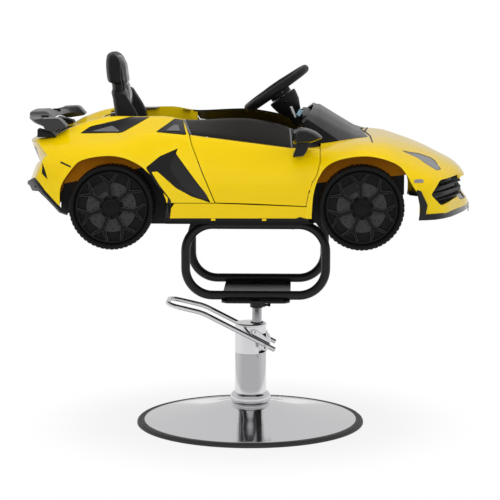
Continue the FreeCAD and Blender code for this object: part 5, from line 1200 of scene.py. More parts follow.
REAR_ARCH: Outline = (
    (-.807, -.2), (-.810, .244), (-.803, .316), (-.786, .384), (-.764, .448), (-.729, .544), (-.685, .580),
    (-.628, .600), (-.582, .604), (-.541, .592), (-.499, .564), (-.433, .484), (-.331, .204), (-.354, -.2))
FRONT_ARCH: Outline = (
    (.280, -.2), (.285, .176), (.297, .316), (.317, .428), (.348, .512), (.392, .564), (.455, .596), (.512, .608),
    (.569, .592), (.628, .552), (.670, .500), (.700, .400), (.724, .300), (.744, .250), (.751, .144), (.745, -.2))
DOOR: Outline = (
    (.319, .668), (.319, .540), (.304, .420), (.282, .344), (.269, .248), (.258, .128), (.017, .152), (-.134, .160),
    (-.160, .296), (-.195, .476), (-.236, .700), (-.247, .788), (-.028, .728), (.192, .668))
TRIM: Outline = ((.319, .668), (.192, .668), (-.028, .728), (-.247, .788), (-.319, 1.1), (.319, 1.1))
INTAKE: Outline = (
    (-.433, .492), (-.374, .596), (-.295, .668), (-.304, .620), (-.208, .344), (-.173, .248), (-.153, .160),
    (-.236, .220), (-.303, .300), (-.382, .455), (-.408, .452), (-.373, .327), (-.323, .180), (-.333, .012),
    (-.354, .012), (-.337, .204), (-.386, .327))
INTAKE_FIN: Outline = (
    (-.433, .492), (-.374, .596), (-.295, .668), (-.303, .636), (-.322, .590), (-.330, .482), (-.2835, .327),
    (-.245, .250), (-.153, .160), (-.236, .220), (-.303, .300), (-.382, .455), (-.408, .452), (-.373, .327),
    (-.323, .180), (-.333, .012), (-.354, .012), (-.337, .204), (-.386, .327))
QUARTER: Outline = ((-.731, .788), (-.687, .852), (-.508, .940), (-.420, .944), (-.547, .796))
SMALL_WINDOW: Outline = ((-.396, .812), (-.320, .920), (-.284, .910), (-.259, .785))
HEADLIGHT: Outline = ((.672, .632), (.753, .589), (.809, .543), (.829, .514), (.852, .443), (.830, .440), (.784, .500),
                      (.747, .556), (.691, .612))
CORNER_INTAKE: Outline = ((.800, .232), (.842, .362), (.94, .372), (.94, .17), (.900, .150), (.846, .122))
# Plan of the right bonnet vent in shares, across the middle
BONNET_VENT: Outline = ((.508, -.266), (.531, .003), (.547, .401), (.549, .744), (.544, .744), (.540, .440),
                        (.525, .105), (.503, -.140))
DIFFUSER: Outline = (
    (-1.04, .275), (-.9985, .262), (-.9625, .123), (-.917, -.010), (-.900, -.045), (-.872, -.070), (-.872, -.120),
    (-.9035, -.089), (-.970, .099), (-1.0, .225), (-1.04, .225))
TAIL: Outline = (
    (-1.1, 1.0), (-.985, 1.0), (-.985, .672), (-.971, .580), (-.947, .456), (-.961, .440), (-.970, .400),
    (-.996, .248), (-1.0, .240), (-1.0, -.2), (-1.1, -.2))


@dataclass
class Shell:
    """Yellow body: front, rear, rockers and arch liners, the liners in the body yellow darkened as painted shade."""

    surface: BodySurface
    bevel: float = 0.0007
    bow: Point2 = (0.675, 0.5)  # How fast the tail curves forward and up towards its corners

    def build(self) -> None:
        """Make every yellow panel that doesn't open."""
        self.front()
        self.rear()
        self.rockers()

    def across(self, shares: Outline, inner: float = -1.0) -> Form:
        """Prism through the body from a side view in shares, or one on the right side beyond a width share."""
        line = self.surface.outline(shares)
        return slab(line, -ACROSS, ACROSS if inner < 0 else -self.surface.y(inner))

    def bowed(self, line: Outline, half: float = ACROSS) -> Form:
        """Prism across the car that follows the tail's curve in plan."""
        ahead, up = self.bow
        return grid([[(x + ahead * y * y, y, z + up * y * y) for x, z in line] for y in np.linspace(-half, half, 41)])

    def below_bumper(self) -> Form:
        """Everything under the yellow bumper's lower edge at the tail."""
        return self.bowed(self.surface.outline((*DIFFUSER[:6], (-.872, -.5), (-1.04, -.5))))

    def arch(self, shares: Outline, wider: float = 0.0) -> Form:
        """Prism of a smooth wheel arch."""
        line = softened(self.surface.outline(shares), 0.5, 4)
        return slab(drawn_in(line, -wider) if wider else line, -ACROSS, ACROSS)

    def liner(self, shares: Outline, inner: float) -> Form:
        """Band that lines a wheel arch on the right side from the body's flank to an inner width.

        Args:
            shares: The arch's outline in shares.
            inner: Y of its inner edge.

        Returns:
            The band.
        """
        s = self.surface
        line = softened(s.outline(shares), 0.5, 4, closed=False)
        middle = sum(u for u, _ in line) / len(line)
        wide = []
        for u, v in line:
            reach = math.hypot(u - middle, v - AXLE_HEIGHT)
            wide.append((u + (u - middle) / reach * WALL, v + (v - AXLE_HEIGHT) / reach * WALL))
        band = slab(line + wide[::-1], -s.half_width, -inner)
        return carved(band, (Keep.INSIDE, s.solid(WALL * 0.4)))

    def arch_wall(self, shares: Outline, face: float) -> Form:
        """Thin yellow wall that closes a wheel arch on the inboard side, on the right side.

        Args:
            shares: The arch's outline in shares.
            face: Y of its outer face.

        Returns:
            The wall.
        """
        s = self.surface
        line = drawn_in(softened(s.outline(shares), 0.5, 4, closed=False), -WALL * 0.6)
        return carved(slab(line, -face - 0.0016, -face - 0.0004), (Keep.INSIDE, s.solid(WALL * 1.2)))

    def front(self) -> None:
        """Bonnet, wings and nose in one smooth piece."""
        s = self.surface
        edge = [(u + 0.0040, v) for u, v in DOOR[:6]]
        ahead = self.across([(.3242, 1.2), *edge, (edge[-1][0], -.3), (1.1, -.3), (1.1, 1.2)])
        cockpit = s.block((.1, .420), (.3, 1.2), -s.y(.5), s.y(.5))
        lamp = slab(softened(s.outline(HEADLIGHT), 0.06, 2), -ACROSS, -s.y(.30))
        form = s.skin(0, WALL, (Keep.INSIDE, ahead), (Keep.OUTSIDE, self.arch(FRONT_ARCH)),
                      (Keep.OUTSIDE, cockpit), (Keep.OUTSIDE, lamp.both()), (Keep.OUTSIDE, self.mouth(0.0)))
        jamb = self.across([(u - 0.0035, v) for u, v in edge] + [(u + 0.012, v) for u, v in reversed(edge)], .6)
        form = largest(form).join(s.skin(-0.0044, 0.0058, (Keep.INSIDE, jamb), low=-.1, high=.5).both())
        show(form, "body_front_shell", YELLOW, ["front_body"], bevel=self.bevel)
        liner = self.liner(FRONT_ARCH[1:11], 0.190).join(self.arch_wall(FRONT_ARCH[2:12], 0.190))
        # The liners take the body yellow darkened as painted shade.
        show(liner.both(), "front_arch_liners", ARCH_SHADE_YELLOW)

    def mouth(self, gap: float) -> Form:
        """Grille opening through the nose with an intake at each corner.

        Args:
            gap: How far it is drawn in.

        Returns:
            The opening's prism.
        """
        s = self.surface
        side = [(.40, .345), (.58, .232), (.44, .125)]
        ring = [(s.y(u), s.z(v)) for u, v in side] + [(-s.y(u), s.z(v)) for u, v in reversed(side)]
        ring = softened(ring, 0.1, 3)
        middle = lengthwise(drawn_in(ring, gap), s.x(.76), s.x(1.2))
        corner = slab(drawn_in(softened(s.outline(CORNER_INTAKE), 0.12, 3), gap), -ACROSS, -s.y(.42))
        return carved(middle, (Keep.BOTH, corner), (Keep.BOTH, corner.mirrored()))

    def rear(self) -> None:
        """Tail, rear wings and deck."""
        s = self.surface
        edge = [(u - 0.003, v) for u, v in DOOR[7:12]]
        behind = self.across([(edge[0][0], .16), *edge, (-.3312, 1.1), (-.3312, 1.2), (-1.1, 1.2), (-1.1, -.3),
                              (-.60, -.3), (-.60, .16)])
        well = s.block((-.66, .2), (.25, 1.2), -s.y(.57), s.y(.57))
        deck = s.block((-.93, -.67), (.5, 1.2), -s.y(.40), s.y(.40))
        holes = Form()
        for shares in (QUARTER, SMALL_WINDOW):
            holes.join(slab(softened(s.outline(shares), 0.08, 2), -ACROSS, -s.y(.5)))
        intake = slab(softened(s.outline(INTAKE), 0.1, 2), -ACROSS, -s.y(.6))
        form = s.skin(0, WALL, (Keep.INSIDE, behind), (Keep.OUTSIDE, self.arch(REAR_ARCH)), (Keep.OUTSIDE, well),
                      (Keep.OUTSIDE, self.bowed(s.outline(TAIL))), (Keep.OUTSIDE, self.below_bumper()),
                      (Keep.OUTSIDE, holes.both()), (Keep.OUTSIDE, intake.both()), (Keep.OUTSIDE, deck))
        form = largest(form, 3)
        band = s.outline(TAIL[2:9])
        wall = self.bowed(band + [(u + WALL, v) for u, v in reversed(band)])
        tail = carved(s.solid(WALL * 0.5, -1.0, -.788), (Keep.INSIDE, wall),
                      (Keep.OUTSIDE, self.below_bumper()), (Keep.OUTSIDE, self.lamp_window(0).both()))
        cheek = carved(s.block((-.53, -.252), (.25, 1.1), -0.1692, -0.1662), (Keep.INSIDE, s.solid(0.0002)))
        form.join(tail, cheek.both())
        show(form, "body_rear_shell", YELLOW, ["rear_body"], bevel=self.bevel)
        liner = self.liner(REAR_ARCH[1:12], 0.212).join(self.arch_wall(REAR_ARCH[2:12], 0.212))
        # The liners take the body yellow darkened as painted shade.
        show(liner.both(), "rear_arch_liners", ARCH_SHADE_YELLOW)

    def lamp_window(self, inset: float) -> Form:
        """Block that one taillight fills in the tail wall on the right side.

        Args:
            inset: Gap all round.

        Returns:
            The block.
        """
        s = self.surface
        return slab(oblong((s.x(-1.05), s.x(-.93)), (s.z(.488) + inset, s.z(.640) - inset)),
                    -s.y(.78) + inset, -s.y(.40) - inset)

    def rockers(self) -> None:
        """Sill panels below the doors."""
        s = self.surface
        line = self.across([(-.354, .012), (.2665, .012), (.2665, .1216), (-.134, .1536), (-.31, .1536)], .6)
        intake = slab(drawn_in(s.outline(INTAKE), -SEAM), -ACROSS, ACROSS)
        form = s.skin(0, WALL, (Keep.INSIDE, line), (Keep.OUTSIDE, self.arch(REAR_ARCH, SEAM)),
                      (Keep.OUTSIDE, self.arch(FRONT_ARCH, SEAM)), (Keep.OUTSIDE, intake), low=-.45, high=.45)
        form = largest(form)
        show(form, "sill_right", YELLOW, ["rocker_right"], bevel=self.bevel)
        show(form.mirrored(), "sill_left", YELLOW, ["rocker_left"], bevel=self.bevel)


@dataclass
class Door:
    """One opening door with its window trim and mirror."""

    surface: BodySurface
    shell: Shell
    side: Side

    def put(self, form: Form, name: str, finish: Finish, node: str = "", crease: float = 32.0,
            bevel: float = 0.0) -> None:
        """Show a form made for the right side on this door.

        Args:
            form: Shape on the right side of the car.
            name: Piece name without its side.
            finish: Its finish.
            node: CAD node that it stands for, without its side.
            crease: Angle in degrees above which an edge stays sharp.
            bevel: Width of a bevel on sharp edges.
        """
        word = self.side.word
        show(form if self.side is Side.RIGHT else form.mirrored(), f"{name}_{word}", finish,
             [f"{node}_{word}"] if node else (), f"door_{word}", crease, bevel)

    def build(self) -> None:
        """Make the skin, trim panel, light strips painted on the trim as highlights, mirror and hinge sleeve."""
        self.skin()
        self.trim()
        self.mirror()

    def skin(self) -> None:
        """Yellow skin with its rounded edge and hinge sleeve."""
        s = self.surface
        panel = slab(drawn_in(s.outline(DOOR), SEAM / 2), -ACROSS, -s.y(.6))
        form = largest(s.skin(0, WALL, (Keep.INSIDE, panel), low=-.45, high=.45))
        sleeve = turned([(0.00205, 0), (0.0036, 0), (0.0036, 0.017), (0.00205, 0.017)], 32,
                        (0.148, -0.281, s.z(.28)))
        self.put(form.join(sleeve), "door_skin", YELLOW, "door", bevel=self.shell.bevel)

    def trim(self) -> None:
        """Black window band with two narrow light grey strips on it, painted highlights."""
        s = self.surface
        band = drawn_in(s.outline(TRIM), SEAM / 2)
        rail = slab(band, -ACROSS, -s.y(.56))
        limit = s.block((-.4, .310), (.3, 1.2), -ACROSS, -s.y(.56))
        form = largest(s.skin(0, WALL, (Keep.INSIDE, rail), (Keep.INSIDE, limit), low=-.45, high=.45))
        self.put(form, "door_window_trim", PANEL_BLACK, "door_trim", bevel=0.0006)
        # Thin light grey strips on the black band: painted highlights.
        glint_strips = Form()
        for shares in (((-.292, .93), (-.246, .795), (-.238, .793), (-.280, .93)),
                       ((.183, .84), (.190, .84), (.200, .672), (.193, .672))):
            glint_block = slab(s.outline(shares), -ACROSS, -s.y(.585))
            glint_strips.join(s.skin(0.0005, 0.001, (Keep.INSIDE, glint_block), low=-.45, high=.45))
        self.put(glint_strips, "door_pane_strips", GLINT_GREY)

    def mirror(self) -> None:
        """Mirror housing on its foot, smooth."""
        s = self.surface
        shares = [(.196, .765), (.202, .846), (.224, .880), (.262, .876), (.302, .842), (.334, .782), (.280, .735),
                  (.202, .722)]
        line = softened(s.outline(shares), 0.28, 4)
        cx = sum(u for u, _ in line) / len(line)
        cz = sum(v for _, v in line) / len(line)
        rows = []
        for reach, size in ((1.02, .90), (1.022, .97), (1.03, 1.0), (1.06, .99), (1.10, .93), (1.14, .80), (1.16, .70),
                            (1.17, .58)):
            rows.append([(cx + (u - cx) * size, -s.y(reach), cz + (v - cz) * size) for u, v in line])
        housing = grid(rows)
        foot = softened(s.outline([(.197, .600), (.250, .612), (.290, .790), (.240, .800)]), 0.2, 3)
        stem = slab(foot, -s.y(1.06), -s.y(.86), 0.002)
        clear = s.solid(0)
        form = largest(carved(housing, (Keep.BOTH, stem), (Keep.OUTSIDE, clear)))
        self.put(form, "side_mirror", GLOSS_BLACK, "mirror", crease=40, bevel=0.0006)


@dataclass(frozen=True)
class Inlay:
    """Piece of the body's surface inside side-view outlines, on both sides of the car."""

    name: str
    finish: Finish
    outlines: Sequence[Outline]
    inner: float
    proud: float
    depth: float
    shrink: float = 0.0
    soften: float = 0.08
    replaces: Sequence[str] = ()
    bevel: float = 0.0


INLAYS = (
    Inlay("window_frames", GLOSS_BLACK, (QUARTER, SMALL_WINDOW), .5, -0.0008, WALL, 0.0012,
          replaces=["quarter_windows"], bevel=0.0005),
    # Light grey patches inside the black window frames: painted glints standing in for reflections.
    Inlay("window_panes", GLINT_GREY, (((-.681, .808), (-.591, .860), (-.553, .808)),
                                      ((-.352, .826), (-.318, .872), (-.300, .868), (-.290, .822))),
          .5, 0.0002, 0.0014, soften=0.1),
    Inlay("intake_mesh", WEAVE_BLACK, (INTAKE,), .6, -0.004, 0.0075, 0.0006, replaces=["side_intakes"]),
    Inlay("intake_fin", GLOSS_BLACK, (INTAKE_FIN,), .6, -0.0004, 0.0040, 0.0008, bevel=0.0005),
    Inlay("headlight_lenses", LENS_GREY, (HEADLIGHT,), .30, -0.0008, WALL, 0.00072, 0.06, ["headlights"], 0.0008),
    Inlay("side_markers", LENS_GREY, (((.722, .352), (.768, .352), (.762, .384), (.728, .384)),), .6, 0.0006, 0.001,
          soften=0.2, bevel=0.0003))


@dataclass
class BodyTrim:
    """Pieces set into the yellow body: windows, intakes, lamps, vents, grille, splitter and diffuser."""

    surface: BodySurface
    shell: Shell
    nose: Point2 = (.689, .972)
    paint: Point2 = (0.0003, 0.0012)  # How far a painted-on mark stands out and goes in

    def build(self) -> None:
        """Make every inset piece."""
        self.inlays()
        self.taillights()
        self.vents()
        self.grille()
        self.splitter()
        self.diffuser()

    def inset(self, shares: Outline, inner: float, proud: float, depth: float, shrink: float = 0.0,
              soften: float = 0.08) -> Form:
        """Layer of the surface inside a side-view outline, right side only.

        Args:
            shares: Outline in shares.
            inner: Width share of its inner limit.
            proud: How far it stands out of the body's surface.
            depth: How deep it goes.
            shrink: Gap all round.
            soften: Rounding of its corners.

        Returns:
            The layer.
        """
        line = softened(self.surface.outline(shares), soften, 2)
        block = slab(drawn_in(line, shrink) if shrink else line, -ACROSS, -self.surface.y(inner))
        return self.surface.skin(proud, depth, (Keep.INSIDE, block))

    def inlays(self) -> None:
        """Windows, side intakes, headlights and side markers."""
        for inlay in INLAYS:
            form = Form()
            for outline in inlay.outlines:
                form.join(self.inset(outline, inlay.inner, inlay.proud, inlay.depth, inlay.shrink, inlay.soften))
            show(form.both(), inlay.name, inlay.finish, inlay.replaces, bevel=inlay.bevel)

    def taillights(self) -> None:
        """Grey lamps in the tail wall."""
        s = self.surface
        back = s.outline(TAIL[2:5])
        band = self.shell.bowed(back + [(u + WALL * 2.5, v) for u, v in reversed(back)])
        form = carved(s.solid(0, -1.0, -.788), (Keep.INSIDE, band), (Keep.INSIDE, self.shell.lamp_window(0.0004)))
        show(form.both(), "taillight_lenses", LENS_GREY, ["taillights"], bevel=0.0008)

    def vents(self) -> None:
        """Black bonnet vents, the dark slots in the tail and small yellow squares on the skirts."""
        s = self.surface
        plan = [(s.x(u), -s.y(v)) for u, v in BONNET_VENT]
        marks = s.skin(*self.paint, (Keep.INSIDE, upright(plan, 0.6, 0.9)), low=.3, high=.7)
        slots = self.inset(((-.803, .548), (-.757, .506), (-.757, .490), (-.803, .530)), .5, *self.paint)
        slots.join(self.inset(((-.886, .522), (-.874, .459), (-.862, .372), (-.876, .397), (-.889, .425)), .5,
                              *self.paint, soften=0.05))
        box = slab([(-0.499, 0.757), (-0.500, 0.738), (-0.455, 0.738), (-0.461, 0.747)], -0.222, -0.176, 0.002)
        box = carved(box, (Keep.OUTSIDE, s.solid(-0.0003)))
        show(marks.join(slots, box).both(), "body_vents", MOULDED_BLACK)
        squares = Form()
        for x in (-0.0796, 0.0402):
            squares.join(slab(oblong((x - 0.005, x + 0.005), (0.5475, 0.5525)), -0.2806, -0.2795))
        show(squares.both(), "skirt_squares", YELLOW)

    def grille(self) -> None:
        """Recessed grille: meshed back, thin slats, the frame round them and the sill under them."""
        s = self.surface
        low, high, top = s.z(.125), s.z(.350), s.x(1.1)
        mouth, deep = self.shell.mouth(0.0008), s.solid(WALL * 9, *self.nose)
        recess = s.solid(WALL * 7, *self.nose)
        band = slab(oblong((s.x(.7), top), (low, high)), -ACROSS, ACROSS)
        back = carved(recess, (Keep.INSIDE, mouth), (Keep.INSIDE, band), (Keep.OUTSIDE, deep))
        sill = s.block((.76, 1.1), (.014, .15), -s.y(.57), s.y(.57))
        curtain = carved(recess, (Keep.INSIDE, sill), (Keep.OUTSIDE, deep))
        show(back.join(curtain), "grille_back", WEAVE_BLACK, ["front_grille"])
        bars = Form()
        for share, thick in ((.20, 0.0010), (.44, 0.0040), (.74, 0.0010)):
            level = low + (high - low) * share
            bars.join(slab(oblong((s.x(.7), top), (level - thick, level + thick)), -ACROSS, ACROSS))
        slats = carved(s.solid(WALL * 3, *self.nose), (Keep.INSIDE, mouth), (Keep.INSIDE, bars),
                       (Keep.OUTSIDE, s.solid(WALL * 7.2, *self.nose)))
        show(slats, "grille_slats", MOULDED_BLACK, bevel=0.0005)
        frame = carved(s.solid(WALL + 0.0003, *self.nose), (Keep.INSIDE, self.shell.mouth(-WALL)),
                       (Keep.OUTSIDE, self.shell.mouth(0.0002)), (Keep.OUTSIDE, deep))
        show(frame, "grille_frame", GLOSS_BLACK, bevel=0.0004)

    def splitter(self) -> None:
        """Front splitter blade, corner blades and canards."""
        s = self.surface
        plan = [(.752, .928), (.775, .925), (.82, .885), (.86, .80), (.90, .665), (.937, .48), (.97, .29), (1.0, .06)]
        edge = [(s.x(u), -s.y(v)) for u, v in plan]
        edge += [(u, -v) for u, v in reversed(edge)]
        inner = [(max(u - WALL * 8, s.x(.752) + 0.0005), v * .9) for u, v in reversed(edge)]
        blade = upright(edge + inner, s.z(0) - WALL * 0.4, s.z(.05) + 0.0005, 0.0007)
        corner = s.outline([(.735, .287), (.755, .275), (.784, .142), (.776, .05), (.757, -.004), (.746, -.004),
                            (.753, .10)])
        fins = slab(softened(corner, 0.12, 2), -s.y(.95), -s.y(.905), 0.0012)
        tip = upright([(s.x(.91), -s.y(.56)), (s.x(.962), -s.y(.36)), (s.x(.978), -s.y(.24)), (s.x(.93), -s.y(.30))],
                      s.z(.125), s.z(.125) + 0.003, 0.0006)
        form = carved(blade, (Keep.BOTH, fins.both()), (Keep.BOTH, tip.both()), (Keep.OUTSIDE, s.solid(0, .6, 1.0)))
        show(form, "front_splitter_blade", GLOSS_BLACK, ["front_splitter"], bevel=0.0005)

    def diffuser(self) -> None:
        """Black diffuser with upright fins and a shelf."""
        s = self.surface
        wide = s.y(.9)
        line = drawn_in(s.outline(DIFFUSER), 0.0006)
        form = carved(s.solid(0, -1.0, -.75), (Keep.INSIDE, self.shell.bowed(line, s.y(1.1))),
                      (Keep.OUTSIDE, s.solid(WALL * 3, -1.0, -.75)))
        form = largest(form)
        for share in (-.60, -.45, -.30, -.15, 0, .15, .30, .45, .60):
            fin = s.outline([(-.925, .30), (-.84, .30), (-.84, .08), (-.88, .12)])
            form.join(slab(fin, s.y(share) - 0.0022, s.y(share) + 0.0022, 0.0006))
        shelf = s.outline([(-.93, .30), (-.824, .14), (-.824, .12), (-.93, .28)])
        form.join(slab(shelf, -wide * .85, wide * .85, 0.0006))
        show(form, "tail_diffuser", MOULDED_BLACK, ["rear_diffuser"], bevel=0.0005)


@dataclass
class Deck:
    """Engine cover, wing and struts."""

    surface: BodySurface
    half_span: float = 0.230

    def build(self) -> None:
        """Make the deck pieces."""
        self.cover()
        self.wing()
        self.struts()

    def cover(self) -> None:
        """Slatted black cover."""
        s = self.surface
        rear, front, half = s.x(-.93), s.x(-.67), s.y(.40)
        gap = 0.0012
        block = upright(oblong((rear + gap, front - gap), (gap - half, half - gap)), s.z(.5), s.z(1.2))
        pitch = (front - rear) / 10
        slots = Form()
        for k in range(1, 10):
            place = rear + k * pitch
            slots.join(upright(oblong((place - pitch * .2, place + pitch * .2), (-half * .75, half * .75)),
                               s.z(.5), s.z(1.2)))
        form = s.skin(-0.0004, WALL, (Keep.INSIDE, block), (Keep.OUTSIDE, slots))
        show(largest(form), "engine_cover", MOULDED_BLACK, ["rear_deck"], bevel=0.0005)

    def section(self, share: float) -> list[Point3]:
        """Wing section at a share of the half span.

        Args:
            share: Place across the car; 0 is the middle.

        Returns:
            The section's points.
        """
        s = self.surface
        ends = softened(s.outline([(-.893, .928), (-.820, .936), (-.781, .844), (-.877, .812), (-.897, .904)]), 0.22, 3)
        table = np.array([(0, -.096, .03, .8), (.22, -.094, .03, .8), (.30, -.090, .02, .5), (.76, -.045, .01, .45),
                          (.80, 0, 0, 1.0), (1.0, 0, 0, 1.0)])
        shift, lift, flat = monotone(table[:, 0], table[:, 1:], np.array([abs(share)]))[0]
        middle = s.z(.872)
        return [(u + shift * s.half_length, share * self.half_span, middle + (v - middle) * flat + lift * s.height)
                for u, v in ends]

    def wing(self) -> None:
        """Wing with its raised centre scoop and end flaps."""
        shares = np.linspace(-1, 1, 121)
        show(grid([self.section(float(v)) for v in shares]), "wing_blade", SMOKE, ["rear_wing"], crease=40,
             bevel=0.0006)

    def struts(self) -> None:
        """Struts between the tail and the wing."""
        s = self.surface
        form = Form()
        line = softened(s.outline([(-.888, .60), (-.862, .60), (-.888, .93), (-.925, .93)]), 0.1, 2)
        wing = grid([self.section(float(v)) for v in np.linspace(-1, 1, 41)])
        for side in Side:
            y = side.value * self.half_span * .5
            strut = slab(line, y - WALL, y + WALL, 0.001)
            form.join(largest(carved(strut, (Keep.OUTSIDE, wing), (Keep.OUTSIDE, s.solid(0)))))
        show(form, "wing_strut_pair", MOULDED_BLACK, ["wing_struts"], bevel=0.0004)


@dataclass
class Cabin:
    """Windshield, dashboard and steering column."""

    surface: BodySurface
    hub: Point3 = (0.065, 0.0, 0.842)
    tilt: float = math.radians(34.5)
    opening: Point3 = (.242, 0.030, 0.170)  # Length share of its rear, reach forward and half width
    rim: float = 0.0034
    screen_shares: Sequence[tuple[float, Sequence[Point2]]] = (
        (.242, ((0, 1.012), (.27, 1.000), (.476, .968), (.565, .940), (.580, .880))),
        (.280, ((0, 1.020), (.27, 1.004), (.476, .952), (.571, .880), (.646, .760))),
        (.322, ((0, 1.012), (.27, .988), (.476, .920), (.578, .828), (.690, .640))),
        (.409, ((0, .896), (.27, .876), (.476, .808), (.585, .732), (.700, .640))),
        (.479, ((0, .800), (.27, .788), (.476, .756), (.585, .720), (.680, .640))),
        (.554, ((0, .738), (.27, .736), (.476, .724), (.561, .712), (.612, .640))),
    )

    def build(self) -> None:
        """Make the cabin's front."""
        self.windshield()
        self.dashboard()
        self.column()

    @property
    def axis(self) -> Vector:
        """Direction of the steering shaft, down and forward."""
        return Vector((math.sin(self.tilt), 0, -math.cos(self.tilt)))

    def across(self, share: float) -> list[float]:
        """Numbers of the windshield's half section at a length share.

        Args:
            share: Length share.

        Returns:
            Width and height shares by turns.
        """
        known = [u for u, _ in self.screen_shares]
        values = np.array([[c for point in half for c in point] for _, half in self.screen_shares])
        return [float(np.interp(share, known, column)) for column in values.T]

    def screen(self, inset: float) -> Form:
        """Closed solid under the windshield's surface.

        Args:
            inset: How far it is drawn in.

        Returns:
            The solid.
        """
        s = self.surface
        rows = []
        for share in np.linspace(self.screen_shares[0][0], self.screen_shares[-1][0], 40):
            row = self.across(share)
            half = softened(list(zip(row[0::2], row[1::2])), 0.3, 4, closed=False)
            line = [(y * (s.half_width - inset), s.z(up) - inset) for y, up in half]
            line.append((line[-1][0], s.z(.45) - inset))
            place = s.x(float(share))
            rows.append([(place, -y, z) for y, z in reversed(line[1:])] + [(place, y, z) for y, z in line])
        return grid(rows)

    def crown(self, x: float, y: float) -> float:
        """Height of the windshield's surface at a place in plan.

        Args:
            x: Place along the car.
            y: Place across the car.

        Returns:
            The height.
        """
        s = self.surface
        row = self.across((x - s.middle_x) / s.half_length)
        return s.z(float(np.interp(abs(y) / s.half_width, row[0::2], row[1::2])))

    def windshield(self) -> None:
        """Satin windshield, pointed in front, with its rimmed opening at the rear and gloss side pillars."""
        s = self.surface
        body = s.solid(0).moved(Matrix.Translation((0, 0, 0.0004)))
        rear, reach, wide = s.x(self.opening[0]), *self.opening[1:]
        opening = rod((0, 0, s.z(.6)), (0, 0, s.z(1.3)), 1.0, 96).moved(
            Matrix.Translation((rear, 0, 0)) @ Matrix.Diagonal((reach, wide, 1, 1)))
        line = [(.268, 0), (.282, -.10), (.298, -.19), (.300, -.30), (0, -.30)]
        wedge = upright(line + [(u, -v) for u, v in reversed(line[1:])], s.z(.3), s.z(1.3))
        glass = largest(carved(self.screen(0), (Keep.OUTSIDE, self.screen(WALL)), (Keep.OUTSIDE, body),
                               (Keep.OUTSIDE, opening), (Keep.INSIDE, wedge)))
        side = slab([(.05, .8400), (.1355, .7823), (.1714, .7584), (.2074, .7346), (.235, .716), (.235, .5),
                     (.05, .5)], -0.3, -0.135).both()
        panel = carved(glass, (Keep.OUTSIDE, side))
        path = []
        for angle in np.linspace(-0.5 * math.pi, 0.5 * math.pi, 41):
            x, y = rear + reach * math.cos(angle), wide * math.sin(angle)
            path.append((x + 0.0005, y, self.crown(max(x, rear + 0.0005), y) - 0.0022))
        panel.join(swept(path, self.rim, 16))
        show(panel, "windshield_panel", SMOKE, ["windshield"], bevel=0.0006)
        show(carved(glass, (Keep.INSIDE, side)), "windshield_pillars", SPOKE_BLACK, bevel=0.0005)

    def dashboard(self) -> None:
        """Curved dashboard with its hooded top."""
        s = self.surface
        line = softened(s.outline([(.190, .40), (.215, .90), (.245, .945), (.300, .93), (.330, .84), (.325, .72),
                                   (.318, .40)]), 0.3, 4)
        block = slab(line, -s.y(.50), s.y(.50), 0.004)
        hollow = slab(drawn_in(line, WALL * 1.5), WALL * 1.5 - s.y(.50), s.y(.50) - WALL * 1.5)
        hub = Vector(self.hub)
        bore = rod(self.hub, tuple(hub + self.axis * s.height), 0.0168, 48)
        form = carved(block, (Keep.OUTSIDE, hollow), (Keep.OUTSIDE, bore), (Keep.INSIDE, self.screen(WALL + 0.0004)))
        show(largest(form), "dashboard_hood", MOULDED_BLACK, ["dashboard"], bevel=0.0006)
        face = slab(oblong((-0.005, 0.005), (-0.008, 0.008)), -0.004, 0.004, 0.0008)
        show(face.moved(spun(32, "Y", (0.1225, -0.128, 0.7905))), "dash_switch", SWITCH_BLUE, bevel=0.0004)
        show(rod((0.101, -0.128, 0.806), (0.113, -0.128, 0.779), 0.0034, 24, 0.0008), "dash_pin", STEEL)

    def column(self) -> None:
        """Conical column shroud with a stalk on each side."""
        hub = Vector(self.hub)
        head = hub + self.axis * 0.0252
        profile = [(0.00705, 0), (0.0345, 0), (0.0360, 0.0012), (0.0356, 0.008), (0.0320, 0.026), (0.0225, 0.046),
                   (0.0168, 0.054), (0.0168, 0.0798), (0.00705, 0.0798)]
        form = turned(profile, 64).moved(aimed(head, self.axis))
        for side in Side:
            start = head + self.axis * 0.014
            tip = start + Vector((0.002, side.value * 0.062, 0.004))
            form.join(rod(tuple(start + Vector((0, side.value * 0.028, 0))), tuple(tip), 0.0028, 16, 0.0008))
        show(form, "column_shroud", MOULDED_BLACK, ["steering_column"], crease=40)


